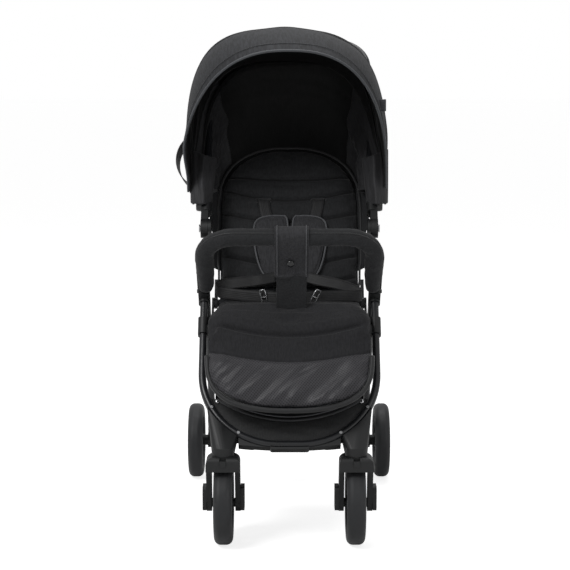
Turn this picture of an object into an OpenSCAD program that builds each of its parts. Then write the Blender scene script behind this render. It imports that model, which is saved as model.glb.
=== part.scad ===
// Baby stroller: a folding tube frame on four wheels, with a reclining seat, a leg rest,
// a bumper bar, a fan-shaped hood and a storage basket.
// Front is -Y, up is +Z. Side-view points are written [y, z], and side-view angles are measured
// from the rear (+Y) towards up (+Z). The origin is on the floor, below the middle of the part.

/* [Frame] */
// Half the distance between the centre lines of the side tubes
side_x = 173.5; // [172:0.5:174]
// Width of a frame tube, seen from the front
tube_w = 15; // [14:1:16]
// Depth of a frame tube, seen from the side
tube_d = 24; // [22:1:25]
// Slope of the front frame above the floor
front_slope = 55; // [54:0.5:56]
// Length of the front frame from its lowest point to the fold hinge, along the slope
front_len = 487; // [480:1:490]
// Radius of the front frame's lower corners
front_bend_r = 152; // [146:1:158]
// Slope of the unfolded handle
handle_slope = 49.5; // [48:0.5:51]
// Length of the handle from the fold hinge to its grip
handle_len = 508; // [495:1:515]
// Turn of the handle when the stroller folds
fold_angle = 110; // [100:1:112]

/* [Wheels] */
// Radius of a front wheel
front_wheel_r = 83; // [80:0.5:84]
// Width of a front tyre
front_tyre_w = 37; // [34:1:37]
// Radius of a rear wheel
rear_wheel_r = 84; // [82:0.5:88]
// Width of a rear tyre
rear_tyre_w = 34; // [32:1:36]
// Distance from a caster's swivel axis back to its wheel axle
trail = 30; // [26:1:32]
// Travel of the front suspension
suspension_travel = 5; // [3:1:6]

/* [Seat] */
// Half the width of the seat and the backrest
seat_half_w = 158; // [150:1:158]
// Recline of the backrest in its most upright position, above the rear
back_slope = 59.6; // [56:0.2:62]
// Length of the backrest
back_len = 362; // [350:1:370]
// Length of the leg rest
leg_rest_len = 168; // [160:1:175]
// Slope of the hanging leg rest
leg_rest_slope = 56.8; // [55:0.2:60]
// Thickness of the cushions
pad_t = 26; // [20:1:28]

/* [Bumper bar] */
// Distance from the bumper's sockets to its front bar
bumper_len = 190; // [180:1:195]
// Slope of the bumper's arms, forwards and up
bumper_slope = 134; // [132:0.5:136]
// Diameter of the padded cover
cover_d = 34; // [30:1:34]

/* [Hood] */
// Radius of the hood from its hub to its top
hood_r = 358; // [352:1:362]
// Half the width of the hood
hood_w = 205; // [204:0.5:206]
// Squareness of the hood's arch
hood_n = 3.1; // [3:0.1:3.4]
// Sideways lean of the hood's top
hood_lean = 5; // [0:1:6]
// Angle of the hood's rear edge
hood_rear = 55; // [54.5:0.5:56]
// Angle of the open hood's front rim
hood_front = 122; // [122:0.5:124]

/* [Basket] */
// Height of the basket's floor above the ground
basket_z = 192; // [191:1:196]
// Height of the basket's rim above the ground
basket_top = 300; // [280:1:302]
// Half the width of the basket
basket_half_w = 150; // [140:1:152]

/* [Hidden] */
$fn = 64;

// Clearances: between parts that only stay apart, and around a turning pin
gap = 0.3;
run_fit = 0.05;

// Places in the side view
front_foot = [-302.4, 201.6];
fold_hinge = front_foot + front_len * heading(front_slope);
leg_mount_s = 400;
leg_offset = 34;
leg_pivot = front_foot + leg_mount_s * heading(front_slope) + leg_offset * heading(front_slope - 90);
rear_axle_at = [282, rear_wheel_r];
rear_leg_v = rear_axle_at - leg_pivot;
rear_leg_len = norm(rear_leg_v);
rear_leg_slope = atan2(rear_leg_v[1], rear_leg_v[0]);
back_pivot = [0, 440];
leg_rest_pivot = [-236, 407];
hub_along = 79;
hood_hub = fold_hinge + hub_along * heading(handle_slope);
bumper_mount_s = 324;
bumper_root = front_foot + bumper_mount_s * heading(front_slope);

// Widths and sizes of single parts
sleeve_t = 3.5;
sleeve_w = tube_w + 2 * sleeve_t;
sleeve_d = tube_d + 2 * sleeve_t;
pin_r = 5;
rear_leg_d = 22;
cross_tube_r = 10;
handle_bend_r = 70;
rail_r = 7;
rail_x = 146;
rail_z = 412;
seat_top = rail_z + 12 + pad_t;
back_tube_r = 8;
plate_len = 55;
back_half_w = 155;
caster_x = 129.5;
axle_y = -283;
swivel_y = axle_y - trail;
stem_r = 7;
axle_r = 6;
fork_top = 184.7;
housing_bottom = 185;
housing_inner = 100;
fork_half = 33;
fork_inner = 23;
rear_wheel_x = 212;
hub_pin_r = 6;
hood_t = 4;
hood_step = 6;
hood_start = 70;
arm_end = 84;
hoop_angle = 2.5;
strap_x = 4;

tube_color = [0.16, 0.16, 0.17];
plastic_color = [0.10, 0.10, 0.11];
fabric_color = [0.15, 0.15, 0.16];
hood_color = [0.24, 0.25, 0.26];
mesh_color = [0.28, 0.28, 0.30];
tyre_color = [0.20, 0.20, 0.21];
metal_color = [0.75, 0.75, 0.77];

// A unit step in the side view
function heading(a) = [cos(a), sin(a)];

// Extrudes a side-view outline across the stroller, from x0 to x1
module across(x0, x1) rotate([90, 0, 90]) translate([0, 0, x0]) linear_extrude(x1 - x0) children();

// Extrudes a front-view outline (x, z) along the stroller, from y0 to y1
module along(y0, y1) rotate([90, 0, 0]) translate([0, 0, -y1]) linear_extrude(y1 - y0) children();

// A round bar across the stroller, at the side-view point p
module bar(p, r, x0, x1) translate([x0, p[0], p[1]]) rotate([0, 90, 0]) cylinder(r = r, h = x1 - x0);

// Lays children in a sloped plane: x across, y up the slope, z out of the plane to the front
module on_slope(p, a) translate([0, p[0], p[1]]) rotate([a, 0, 0]) children();

// Repeats the right-hand side's parts on the left
module both_sides() {
    children();
    mirror([1, 0, 0]) children();
}

// Puts a part drawn for the right (+X) side on the side s
module on_side(s) mirror([s < 0 ? 1 : 0, 0, 0]) children();

// The flat-oval section of a frame tube
module tube_section(w, d, grow = 0) {
    for (end = [-1, 1]) translate([0, end * (d - w) / 2]) circle(d = w + 2 * grow);
    square([w + 2 * grow, d - w], center = true);
}

// A straight tube up a slope, at x, from y0 to y1
module tube_up(x, y0, y1, w, d, grow = 0)
    translate([x, y0, 0]) rotate([-90, 0, 0]) linear_extrude(y1 - y0) tube_section(w, d, grow);

// A straight tube across a slope, at y, from x0 to x1
module tube_over(y, x0, x1, w, d, grow = 0)
    translate([x0, y, 0]) rotate([90, 0, 90]) linear_extrude(x1 - x0) tube_section(w, d, grow);

// A bend of a tube in its slope, around c, from angle a0 to a1
module tube_bend(c, r, a0, a1, w, d, grow = 0)
    translate([c[0], c[1], 0]) rotate(a0) rotate_extrude(angle = a1 - a0)
        translate([r, 0]) tube_section(w, d, grow);

// A side-view circle
module dot(p, r) translate(p) circle(r = r);

// A straight side-view strip from p to q, of width w
module strip(p, q, w) {
    v = q - p;
    translate(p) rotate(atan2(v[1], v[0])) translate([0, -w / 2]) square([norm(v), w]);
}

// A rectangle with round corners, from [x0, y0] to [x1, y1]
module round_rect(x0, y0, x1, y1, r) {
    translate([x0 + r, y0]) square([x1 - x0 - 2 * r, y1 - y0]);
    translate([x0, y0 + r]) square([x1 - x0, y1 - y0 - 2 * r]);
    for (x = [x0 + r, x1 - r]) for (y = [y0 + r, y1 - r]) dot([x, y], r);
}

// ---------- front frame ----------

flat_x = side_x - front_bend_r;

// The front frame's U-shaped tube, or the space it takes when grown
module front_u(grow = 0) on_slope(front_foot, front_slope) {
    for (s = [-1, 1]) {
        tube_up(s * side_x, front_bend_r, front_len - 40, tube_w, tube_d, grow);
        tube_bend([s * flat_x, front_bend_r], front_bend_r, s < 0 ? 180 : 270, s < 0 ? 270 : 360,
            tube_w, tube_d, grow);
    }
    tube_over(0, -flat_x, flat_x, tube_w, tube_d, grow);
}

module front_tube() color(tube_color) front_u();

// The area inside a U of the front frame whose half width is r
module inside_u(r) {
    for (s = [-1, 1]) translate([s * flat_x, front_bend_r]) circle(r = r - flat_x);
    translate([-flat_x, front_bend_r - r + flat_x]) square([2 * flat_x, 2 * r]);
    translate([-r, front_bend_r]) square([2 * r, 2 * r]);
}

// Plastic housing that joins the U tube to the caster's stem
module leg_housing(s) color(plastic_color) on_side(s) difference() {
    hull() {
        translate([caster_x, swivel_y, housing_bottom]) cylinder(r = 21.7, h = 16, $fn = 32);
        on_slope(front_foot, front_slope) {
            translate([152, 92, -17]) cylinder(r = 12, h = 28, $fn = 32);
            translate([housing_inner + 18, 30, -17]) cylinder(r = 18, h = 28, $fn = 32);
        }
    }
    front_u(gap);
    on_slope(front_foot, front_slope) {
        translate([0, 0, -13]) linear_extrude(70) inside_u(side_x + tube_w / 2 + gap);
        translate([0, 0, -50]) linear_extrude(100) inside_u(side_x - 16);
    }
    translate([caster_x, swivel_y, housing_bottom - 1]) cylinder(r = stem_r + run_fit, h = 30);
}

// Crossbar below the U tube between the housings, with a central rest pad
module front_crossbar() color(plastic_color) difference() {
    on_slope(front_foot, front_slope) {
        crossbar_layer(-16, 4.7, side_x + 4, -1);
        crossbar_layer(-13, 3, side_x + 40, 70);
        crossbar_layer(-10.5, 18.5, side_x + 40, -1);
        translate([0, 0, -13]) linear_extrude(8) round_rect(-30, -9.5, 30, 4, 3);
        translate([0, 0, -6]) linear_extrude(17) round_rect(-38, -12.5, 38, 4, 4);
    }
    front_u(gap);
    on_slope(front_foot, front_slope)
        translate([0, 0, -11]) linear_extrude(70) inside_u(side_x + tube_w / 2 + gap);
}

// A layer of the crossbar, t thick from height z up, from x0 out to the housings: it lies between
// a U inside the tube and one of half width r, and ends below in one wide shallow curve
module crossbar_layer(z, t, r, x0) {
    curve = 900;
    lowest = -7.9;
    translate([0, 0, z]) linear_extrude(t) intersection() {
        difference() {
            inside_u(r);
            inside_u(side_x - 5);
        }
        translate([0, lowest + curve]) circle(r = curve, $fn = 720);
        both_sides() translate([x0, -60]) square([housing_inner - gap - x0, 100]);
    }
}

// Bright rivets on the U tube's front face
module tube_rivets() color(metal_color) on_slope(front_foot, front_slope)
    for (s = [-1, 1]) for (a = [-30, -59])
        translate([s * (flat_x + front_bend_r * cos(a)), front_bend_r * (1 + sin(a)), tube_d / 2])
            cylinder(r = 3, h = 1.6);

// Hinge castings at the top of the side tubes
module hinge_bases() color(plastic_color) both_sides() difference() {
    union() {
        on_slope(front_foot, front_slope)
            tube_up(side_x, front_len - 68, front_len - 40, sleeve_w, sleeve_d);
        across(side_x - sleeve_w / 2, side_x - 4.5) {
            dot(fold_hinge, 20);
            strip(fold_hinge, fold_hinge - 60 * heading(front_slope), 26);
        }
    }
    front_u(gap);
    bar(fold_hinge, pin_r, 150, 190);
}

// Brackets behind the side tubes, which carry the rear legs
module leg_brackets() color(plastic_color) both_sides() difference() {
    union() {
        on_slope(front_foot, front_slope)
            tube_up(side_x, leg_mount_s - 20, leg_mount_s + 16, sleeve_w + 2, sleeve_d);
        across(side_x - 13.5, side_x + 13.5) {
            dot(leg_pivot, 15);
            strip(leg_pivot, leg_pivot + leg_offset * heading(front_slope + 90), 30);
        }
    }
    front_u(gap);
    across(side_x - tube_w / 2 - gap, side_x + tube_w / 2 + gap) dot(leg_pivot, 17);
    bar(leg_pivot, pin_r, 150, 190);
}

// Pins of the fold hinges, the rear legs and the backrest
module pivot_pins() color(metal_color) both_sides() {
    bar(fold_hinge, pin_r, side_x - sleeve_w / 2, 186);
    bar(fold_hinge, 8, 186, 188);
    bar(leg_pivot, pin_r, side_x - 13.5, side_x + 13.5);
    bar(back_pivot, pin_r, 130, 162.6);
}

// Seat frame: two rails, a rear cross bar and the front bar that the leg rest turns on
module seat_frame() color(tube_color) {
    both_sides() {
        translate([rail_x, leg_rest_pivot[0] + 16, rail_z]) rotate([-90, 0, 0])
            cylinder(r = rail_r, h = -leg_rest_pivot[0] - 30);
        translate([rail_x, leg_rest_pivot[0] + 16, rail_z]) sphere(r = rail_r);
        across(rail_x - 4, rail_x + 4) strip([leg_rest_pivot[0] + 16, rail_z], leg_rest_pivot, 10);
    }
    bar(leg_rest_pivot, rail_r, -rail_x - 4, rail_x + 4);
    bar([-60, rail_z], rail_r, -rail_x, rail_x);
}

// Brackets that hold the seat rails on the side tubes and carry the backrest's pins
module seat_brackets() color(plastic_color) {
    seat_s = (rail_z - front_foot[1]) / sin(front_slope);
    both_sides() difference() {
        union() {
            on_slope(front_foot, front_slope)
                tube_up(side_x, seat_s - 18, seat_s + 18, sleeve_w, sleeve_d);
            across(rail_x - rail_r - 3, side_x - tube_w / 2) round_rect(-176, 401, -132, 419.5, 4);
        }
        front_u(gap);
        translate([rail_x, -240, rail_z]) rotate([-90, 0, 0]) cylinder(r = rail_r + gap, h = 260);
    }
    both_sides() difference() {
        union() {
            across(158.6, 162.6) {
                dot(back_pivot, 12);
                strip([-26, rail_z], back_pivot, 20);
                dot([-26, rail_z], 10);
            }
            bar([-26, rail_z], 6, rail_x, 160);
        }
        translate([rail_x, -240, rail_z]) rotate([-90, 0, 0]) cylinder(r = rail_r + gap, h = 260);
        bar(back_pivot, pin_r, 150, 190);
    }
}

// Seat cushion, with a wider roll in front of the side tubes
module seat_pad() color(fabric_color) {
    across(-seat_half_w, seat_half_w) round_rect(-240, rail_z + 8.2, -16, seat_top, 9);
    across(-seat_half_w - 8, seat_half_w + 8) round_rect(-240, rail_z + 8.2, -184, seat_top, 9);
}

// Sockets on the side tubes, which the bumper bar plugs into
module bumper_sockets() color(plastic_color) both_sides() difference() {
    union() {
        on_slope(front_foot, front_slope)
            tube_up(side_x, bumper_mount_s - 14, bumper_mount_s + 14, sleeve_w, sleeve_d);
        across(side_x - sleeve_w / 2, side_x + sleeve_w / 2)
            strip(bumper_root, bumper_root + 28 * heading(bumper_slope), 24);
    }
    front_u(gap);
    across(side_x - 6.9, side_x + 3.9) strip(bumper_root + 16 * heading(bumper_slope),
        bumper_root + 50 * heading(bumper_slope), 14.8);
    bar(button_at, button_r + 0.4, side_x + 6, side_x + 30);
}

button_r = 4;
button_at = bumper_root + 21.5 * heading(bumper_slope);

// Storage basket, open at the top
module basket() color(fabric_color) {
    wall = 3;
    lean = 73;
    rear_lean = 58;
    difference() {
        across(-basket_half_w, basket_half_w) polygon([
            [-278, basket_z], [-278 + lean, basket_top], [35, basket_top], [35 + rear_lean, basket_z],
        ]);
        across(wall - basket_half_w, basket_half_w - wall) polygon([
            [-271, basket_z + wall], [-271 + lean, basket_top + wall],
            [30, basket_top + wall], [30 + rear_lean, basket_z + wall],
        ]);
    }
    both_sides() {
        across(basket_half_w - wall, basket_half_w) {
            strip([24, basket_top - 20], [-14, rail_z - 9], 16);
            strip([-186, basket_top - 20], [-166, rail_z - 13], 16);
        }
    }
}

// Fabric panel across the foot of the U tube
module foot_panel() color(fabric_color) on_slope(front_foot, front_slope)
    translate([0, 0, -1.5]) linear_extrude(3) intersection() {
        inside_u(side_x - tube_w / 2 - gap);
        difference() {
            translate([-150, 0]) square([300, 96]);
            translate([0, 302]) circle(r = 252, $fn = 128);
        }
    }

// Harness buckle with its crotch strap
module harness_buckle() color(plastic_color) translate([strap_x, 0, 0]) {
    translate([-21, -132, seat_top + 2]) linear_extrude(13) round_rect(0, 0, 42, 46, 9);
    translate([-14, -110, seat_top + gap]) cube([28, 20, 2 - gap]);
}

// ---------- rear frame ----------

// Rear leg, from its pivot to just above the axle
module rear_leg(s) color(tube_color) on_side(s) difference() {
    union() {
        on_slope(leg_pivot, rear_leg_slope)
            tube_up(side_x, 8, rear_leg_len - 18, tube_w - 1, rear_leg_d);
        across(side_x - tube_w / 2 + gap, side_x + tube_w / 2 - gap) dot(leg_pivot, 13);
    }
    bar(leg_pivot, pin_r + run_fit, 150, 190);
}

// Cross tube between the rear legs
cross_at = leg_pivot + (rear_leg_len - 62) * heading(rear_leg_slope);
leg_inner = side_x - tube_w / 2;
module rear_cross_tube() color(tube_color) difference() {
    union() {
        bar(cross_at, cross_tube_r, 2.2 - leg_inner, leg_inner - 2.2);
        both_sides() on_slope(leg_pivot, rear_leg_slope)
            tube_up(side_x, rear_leg_len - 80, rear_leg_len - 44, tube_w + 6, rear_leg_d + 7);
    }
    both_sides() on_slope(leg_pivot, rear_leg_slope)
        tube_up(side_x, 8, rear_leg_len, tube_w - 1, rear_leg_d, gap);
}

// Housings at the lower ends of the rear legs, with bosses for the axle
module axle_housings() color(plastic_color) both_sides() difference() {
    union() {
        on_slope(leg_pivot, rear_leg_slope)
            tube_up(side_x, rear_leg_len - 42, rear_leg_len - 4, sleeve_w, rear_leg_d + 8);
        bar(rear_axle_at, 17, side_x - 12.5, side_x + 12.5);
        bar(rear_axle_at, 12, side_x + 12, 196.6);
    }
    on_slope(leg_pivot, rear_leg_slope)
        tube_up(side_x, 8, rear_leg_len - 17, tube_w - 1, rear_leg_d, gap);
    bar(rear_axle_at, axle_r + run_fit, 100, 300);
}

// Steel axle across both housings
module rear_axle() color(metal_color) bar(rear_axle_at, axle_r, -rear_wheel_x - 16, rear_wheel_x + 16);

// Foot brake: a pedal that turns on the cross tube
module brake_pedal() color(plastic_color) difference() {
    union() {
        bar(cross_at, cross_tube_r + 5, -70, 70);
        across(-60, 60) {
            strip(cross_at, cross_at + [62, -6], 9);
            dot(cross_at + [62, -6], 6);
        }
    }
    bar(cross_at, cross_tube_r + run_fit, -80, 80);
}

// ---------- wheels ----------

// Half the section of a tyre: a rounded tread on a square foot
module tyre_section(r, w, depth) {
    edge = 13;
    translate([r - depth, -w / 2 + 2]) square([depth - edge, w - 4]);
    translate([r - edge - 1, -w / 2 + edge]) square([edge + 1, w - 2 * edge]);
    for (s = [-1, 1]) translate([r - edge, s * (w / 2 - edge)]) circle(r = edge);
}

// Tyre around X, centred at [x, y, z]
module tyre(at, r, w) color(tyre_color) translate(at) rotate([0, 90, 0])
    rotate_extrude($fn = 128) difference() {
        tyre_section(r, w, 24);
        translate([0, -w]) square([r - 24, 2 * w]);
    }

// Five-spoked wheel rim around X, with a bore for its axle
module rim(at, r, w, hub_w) color(plastic_color) translate(at) rotate([0, 90, 0]) {
    bed = r - 24 - gap;
    difference() {
        cylinder(r = bed, h = w - 8, center = true, $fn = 128);
        cylinder(r = bed - 8, h = w, center = true, $fn = 128);
    }
    difference() {
        union() {
            cylinder(r = 15, h = hub_w, center = true);
            for (a = [0 : 72 : 288]) rotate(a) translate([10, -7, -7]) cube([bed - 14, 14, 14]);
        }
        cylinder(r = axle_r + run_fit, h = hub_w + 2, center = true);
    }
}

function front_wheel_at(s) = [s * caster_x, axle_y, front_wheel_r];
function rear_wheel_at(s) = [s * rear_wheel_x, rear_axle_at[0], rear_axle_at[1]];

module tyre_rear(s) tyre(rear_wheel_at(s), rear_wheel_r, rear_tyre_w);
module rim_rear(s) rim(rear_wheel_at(s), rear_wheel_r, rear_tyre_w, 30);
module tyre_front(s) tyre(front_wheel_at(s), front_wheel_r, front_tyre_w);
module rim_front(s) rim(front_wheel_at(s), front_wheel_r, front_tyre_w, front_tyre_w);

// ---------- casters ----------

// Caster fork: a stem, a rounded crown and two legs with axle slots
module fork(s) color(plastic_color) on_side(s) translate([caster_x, 0, 0]) {
    wheel_top = 2 * front_wheel_r;
    arch_top = wheel_top + suspension_travel + 1;
    lip_y = swivel_y - 23;
    lip_z = wheel_top - 9;
    slot_r = axle_r + gap;
    difference() {
        intersection() {
            across(-fork_half, fork_half) {
                dot([axle_y, front_wheel_r], 17);
                polygon([
                    [swivel_y - 20, fork_top], [swivel_y + 22, fork_top], [axle_y + 17, front_wheel_r],
                    [axle_y - 17, front_wheel_r], [swivel_y - 14, wheel_top - 8],
                ]);
                translate([swivel_y - 30, lip_z]) square([30, fork_top - 10 - lip_z]);
                dot([swivel_y - 20, fork_top - 10], 10);
            }
            along(swivel_y - 40, axle_y + 30) {
                translate([-19, 60]) square([38, fork_top - 60]);
                translate([-fork_half, 60]) square([2 * fork_half, fork_top - 74]);
                for (e = [-1, 1]) dot([e * 19, fork_top - 14], 14);
            }
        }
        along(lip_y, axle_y + 40) {
            translate([-15, 0]) square([30, arch_top]);
            translate([-fork_inner, 0]) square([2 * fork_inner, arch_top - 8]);
            for (e = [-1, 1]) dot([e * 15, arch_top - 8], 8);
        }
        along(swivel_y - 50, axle_y + 40) translate([-fork_inner, 0]) square([2 * fork_inner, lip_z]);
        across(-fork_half - 1, fork_half + 1) {
            dot([axle_y, front_wheel_r], slot_r);
            dot([axle_y, front_wheel_r + suspension_travel], slot_r);
            translate([axle_y - slot_r, front_wheel_r]) square([2 * slot_r, suspension_travel]);
        }
        lock_slot();
    }
    translate([0, swivel_y, fork_top - 2]) cylinder(r = stem_r, h = 26);
}

// The slot in a fork's crown that its swivel lock slides in
module lock_slot() translate([-6.3, swivel_y - 31, fork_top - 18]) cube([12.6, 11, 19]);

// Swivel lock: a small slider on the front of the crown
module swivel_lock(s) color(plastic_color) on_side(s) translate([caster_x - 6, 0, 0])
    translate([0, swivel_y - 32, fork_top - 17.7]) cube([12, 11.5, 12]);

// Suspended axle of a front wheel, with its side blocks
module axle_carrier(s) color(plastic_color) on_side(s) translate([caster_x, 0, 0]) {
    bar([axle_y, front_wheel_r], axle_r, -36, 36);
    for (e = [-1, 1]) on_side(e) {
        across(fork_half + gap, fork_half + 8) round_rect(axle_y - 20, 70, axle_y + 20, 118, 8);
        bar([axle_y, front_wheel_r], 9, front_tyre_w / 2 + 0.6, fork_inner - 0.4);
    }
}

// ---------- handle ----------

// The handle's U-shaped tube, or the space it takes when grown
module handle_u(grow = 0) on_slope(fold_hinge, handle_slope) {
    corner_x = side_x - handle_bend_r;
    corner_y = handle_len - handle_bend_r;
    for (s = [-1, 1]) {
        tube_up(s * side_x, 40, corner_y, tube_w, tube_d, grow);
        tube_bend([s * corner_x, corner_y], handle_bend_r, s < 0 ? 90 : 0, s < 0 ? 180 : 90,
            tube_w, tube_d, grow);
    }
    tube_over(handle_len, -corner_x, corner_x, tube_w, tube_d, grow);
}

module handle_tube() color(tube_color) handle_u();

// Foam grips on both halves of the handle's bar
module handle_grip() color(fabric_color) both_sides() difference() {
    on_slope(fold_hinge, handle_slope) tube_over(handle_len, 42, 100, tube_w, tube_d, 5);
    handle_u(gap / 2);
}

// Hinge arms at the lower ends of the handle
module hinge_arms() color(plastic_color) both_sides() difference() {
    union() {
        on_slope(fold_hinge, handle_slope) tube_up(side_x, 38, 60, sleeve_w, sleeve_d);
        across(side_x - 4, side_x + sleeve_w / 2) {
            dot(fold_hinge, 20);
            strip(fold_hinge, fold_hinge + 50 * heading(handle_slope), 26);
        }
    }
    handle_u(gap);
    bar(fold_hinge, pin_r + run_fit, 150, 190);
}

// Housing of the fold release, in the middle of the handle
module fold_release_housing() color(plastic_color) difference() {
    on_slope(fold_hinge, handle_slope) tube_over(handle_len, -40, 40, tube_w, tube_d, 8);
    handle_u(gap / 2);
    on_slope(fold_hinge, handle_slope)
        translate([-15.4, handle_len - 30, -7.4]) cube([30.8, 20.5, 14.8]);
}

// Button of the fold release, pressed up into its housing
module fold_button() color(plastic_color) on_slope(fold_hinge, handle_slope)
    translate([-15, handle_len - 24, -7]) cube([30, 8, 14]);

// Clamps on the handle that carry the hood, with their pivot pins
module hood_hubs() color(plastic_color) both_sides() difference() {
    union() {
        on_slope(fold_hinge, handle_slope)
            tube_up(side_x, hub_along - 14, hub_along + 14, sleeve_w, sleeve_d);
        bar(hood_hub, 13, side_x + 8, side_x + 13);
        bar(hood_hub, hub_pin_r, side_x + 8, hood_w - 3);
        bar(hood_hub, 12, hood_w - 4, hood_w - 2);
    }
    handle_u(gap);
}

// Fabric carry loop beside the left-hand tube of the handle
module carry_strap() color(fabric_color) on_slope(fold_hinge, handle_slope) {
    web = 2.5;
    half = 62;
    bulge = 52;
    arc_r = (half * half + bulge * bulge) / (2 * bulge);
    translate([-side_x - tube_w / 2 - gap, 180, -29]) linear_extrude(20) difference() {
        translate([arc_r - bulge, 0]) circle(r = arc_r);
        intersection() {
            translate([arc_r - bulge, 0]) circle(r = arc_r - web);
            translate([-100 - web, -100]) square([100, 200]);
        }
        translate([0, -100]) square([200, 200]);
    }
}

// ---------- hood ----------

// A point of the hood's arch: [distance from the hub axis, x]; above the hoops' arms it leans to -X
function arch_rho(a, inset) = (hood_r - inset) * pow(abs(sin(a)), 2 / hood_n);
function arch_x(a, inset) = (hood_w - inset) * pow(abs(cos(a)), 2 / hood_n) * sign(cos(a));
function arch_point(a, inset) = [
    arch_rho(a, inset),
    arch_x(a, inset) - hood_lean * max(0, arch_rho(a, inset) - arm_end) / hood_r,
];

// Part of the hood's arch between two hub angles, t thick and set in by inset
module hood_arch(from, to, inset, t) {
    arc = [for (a = [0 : 6 : 180]) a];
    outer = [for (a = arc) arch_point(a, inset)];
    inner = [for (a = arc) arch_point(180 - a, inset + t)];
    translate([0, hood_hub[0], hood_hub[1]]) rotate([90, 0, 90]) rotate(from)
        rotate_extrude(angle = to - from, $fn = 180) intersection() {
            polygon(concat(outer, inner));
            translate([hood_start, -hood_w - 10]) square([hood_r, 2 * hood_w + 20]);
        }
}

// Flat arms of a hoop, from the hub pin to the arch
module hoop_arms(angle, inset) both_sides() difference() {
    x1 = hood_w - inset - 1;
    across(x1 - hood_t, x1) {
        dot(hood_hub, 11);
        strip(hood_hub, hood_hub + arm_end * heading(angle), 7);
    }
    bar(hood_hub, hub_pin_r + run_fit, 150, 230);
}

// A hoop under the front edge of its panel
module hoop(edge, inset) {
    inner = inset + hood_t + gap;
    hood_arch(edge - hoop_angle, edge, inner, hood_t);
    hoop_arms(edge - hoop_angle / 2, inner);
}

rear_edge = hood_rear + 22;
mid_edge = rear_edge + 25;

module hood_rear_panel() color(hood_color) hood_arch(hood_rear, rear_edge, 2 * hood_step, hood_t);
module hood_mid_panel() color(hood_color) hood_arch(rear_edge - 2, mid_edge, hood_step, hood_t);
module hood_visor() color(hood_color) hood_arch(mid_edge - 2, hood_front, 0, hood_t);

module hood_rear_hoop() color(plastic_color)
    hood_arch(hood_rear, hood_rear + hoop_angle, 2 * hood_step + hood_t + gap, hood_t);
module hood_mid_hoop() color(plastic_color) hoop(mid_edge, hood_step);
module hood_front_hoop() color(plastic_color) hoop(hood_front, 0);

// ---------- seat back ----------

// Hinge tube of the backrest with its side plates
module backrest_frame() color(tube_color) difference() {
    union() {
        bar(back_pivot, back_tube_r, -seat_half_w, seat_half_w);
        both_sides() on_slope(back_pivot, back_slope) across(seat_half_w - 7, seat_half_w) {
            dot([0, 0], 12);
            translate([0, -12]) square([plate_len, 11]);
        }
    }
    bar(back_pivot, pin_r + run_fit, -170, -129);
    bar(back_pivot, pin_r + run_fit, 129, 170);
}

// The backrest's outline: straight sides and an arched top
module back_outline(half, y0, y1) {
    arch_r = 160;
    shoulder = y1 - arch_r + sqrt(arch_r * arch_r - half * half);
    translate([-half, y0]) square([2 * half, shoulder - y0]);
    intersection() {
        translate([0, y1 - arch_r]) circle(r = arch_r, $fn = 96);
        translate([-half, shoulder - 1]) square([2 * half, arch_r]);
    }
}

// Stiff board of the backrest, with ears on the hinge tube
module backrest_board() color(plastic_color) on_slope(back_pivot, back_slope) {
    translate([0, 0, -5]) linear_extrude(5) back_outline(146, 13, back_len - 8);
    difference() {
        for (x0 = [-146, 120]) across(x0, x0 + 26) {
            dot([0, 0], 12);
            translate([0, -5]) square([20, 5]);
        }
        bar([0, 0], back_tube_r + run_fit, -150, 150);
    }
}

module backrest_pad() color(fabric_color) on_slope(back_pivot, back_slope)
    translate([0, 0, gap]) linear_extrude(pad_t) {
        back_outline(back_half_w, plate_len + 15, back_len);
        translate([10 - seat_half_w, 24]) square([2 * seat_half_w - 20, plate_len]);
    }

// Webbing of the harness, from the slots in the backrest down to the pads
module shoulder_straps() color(plastic_color) on_slope(back_pivot, back_slope)
    translate([strap_x, 0, pad_t + 2 * gap]) both_sides() translate([47, 186, 0]) cube([25, 44, 2]);

// Padded sleeves on the shoulder straps, narrower and closer together at their lower ends
module shoulder_pads() color(fabric_color) on_slope(back_pivot, back_slope)
    translate([strap_x, 0, pad_t + 2 * gap]) both_sides() linear_extrude(10) polygon([
        [6, 38], [36, 34], [50, 44], [62, 66], [71, 94], [75, 128], [74, 168], [62, 184], [12, 184], [6, 176],
    ]);

// ---------- leg rest ----------

// Board of the leg rest, with ears on the seat frame's front bar
module leg_rest_frame() color(plastic_color) on_slope(leg_rest_pivot, leg_rest_slope) {
    translate([0, 0, -6]) linear_extrude(6) rest_outline(140, -14, 10 - leg_rest_len);
    difference() {
        for (x0 = [-138, 112]) across(x0, x0 + 26) {
            dot([0, 0], 11);
            translate([-20, -6]) square([20, 6]);
        }
        bar([0, 0], rail_r + run_fit, -150, 150);
    }
}

// The leg rest's outline: straight sides and a wide curved lower edge
module rest_outline(half, y0, y1) {
    curve = 215;
    corner = 34;
    intersection() {
        translate([0, y1 + curve]) circle(r = curve, $fn = 128);
        round_rect(-half, y1 - 20, half, y0, corner);
    }
    translate([-half, y0 - 60]) square([2 * half, 60]);
}

module leg_rest_pad() color(mesh_color) on_slope(leg_rest_pivot, leg_rest_slope)
    translate([0, 0, 12]) linear_extrude(14) rest_outline(160, -4, -leg_rest_len);

// ---------- bumper bar ----------

bumper_bend_r = 45;
bumper_tube_r = 9;
bumper_x = side_x - 5;

// The bumper's bar as round tube of radius r, from y0 up its arms
module bumper_u(r, y0) on_slope(bumper_root, bumper_slope) {
    corner_x = bumper_x - bumper_bend_r;
    corner_y = bumper_len - bumper_bend_r;
    for (s = [-1, 1]) {
        translate([s * bumper_x, y0, 0]) rotate([-90, 0, 0]) cylinder(r = r, h = corner_y - y0);
        translate([s * corner_x, corner_y, 0]) rotate(s < 0 ? 90 : 0)
            rotate_extrude(angle = 90) translate([bumper_bend_r, 0]) circle(r = r);
    }
    translate([-corner_x, bumper_len, 0]) rotate([0, 90, 0]) cylinder(r = r, h = 2 * corner_x);
}

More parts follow.
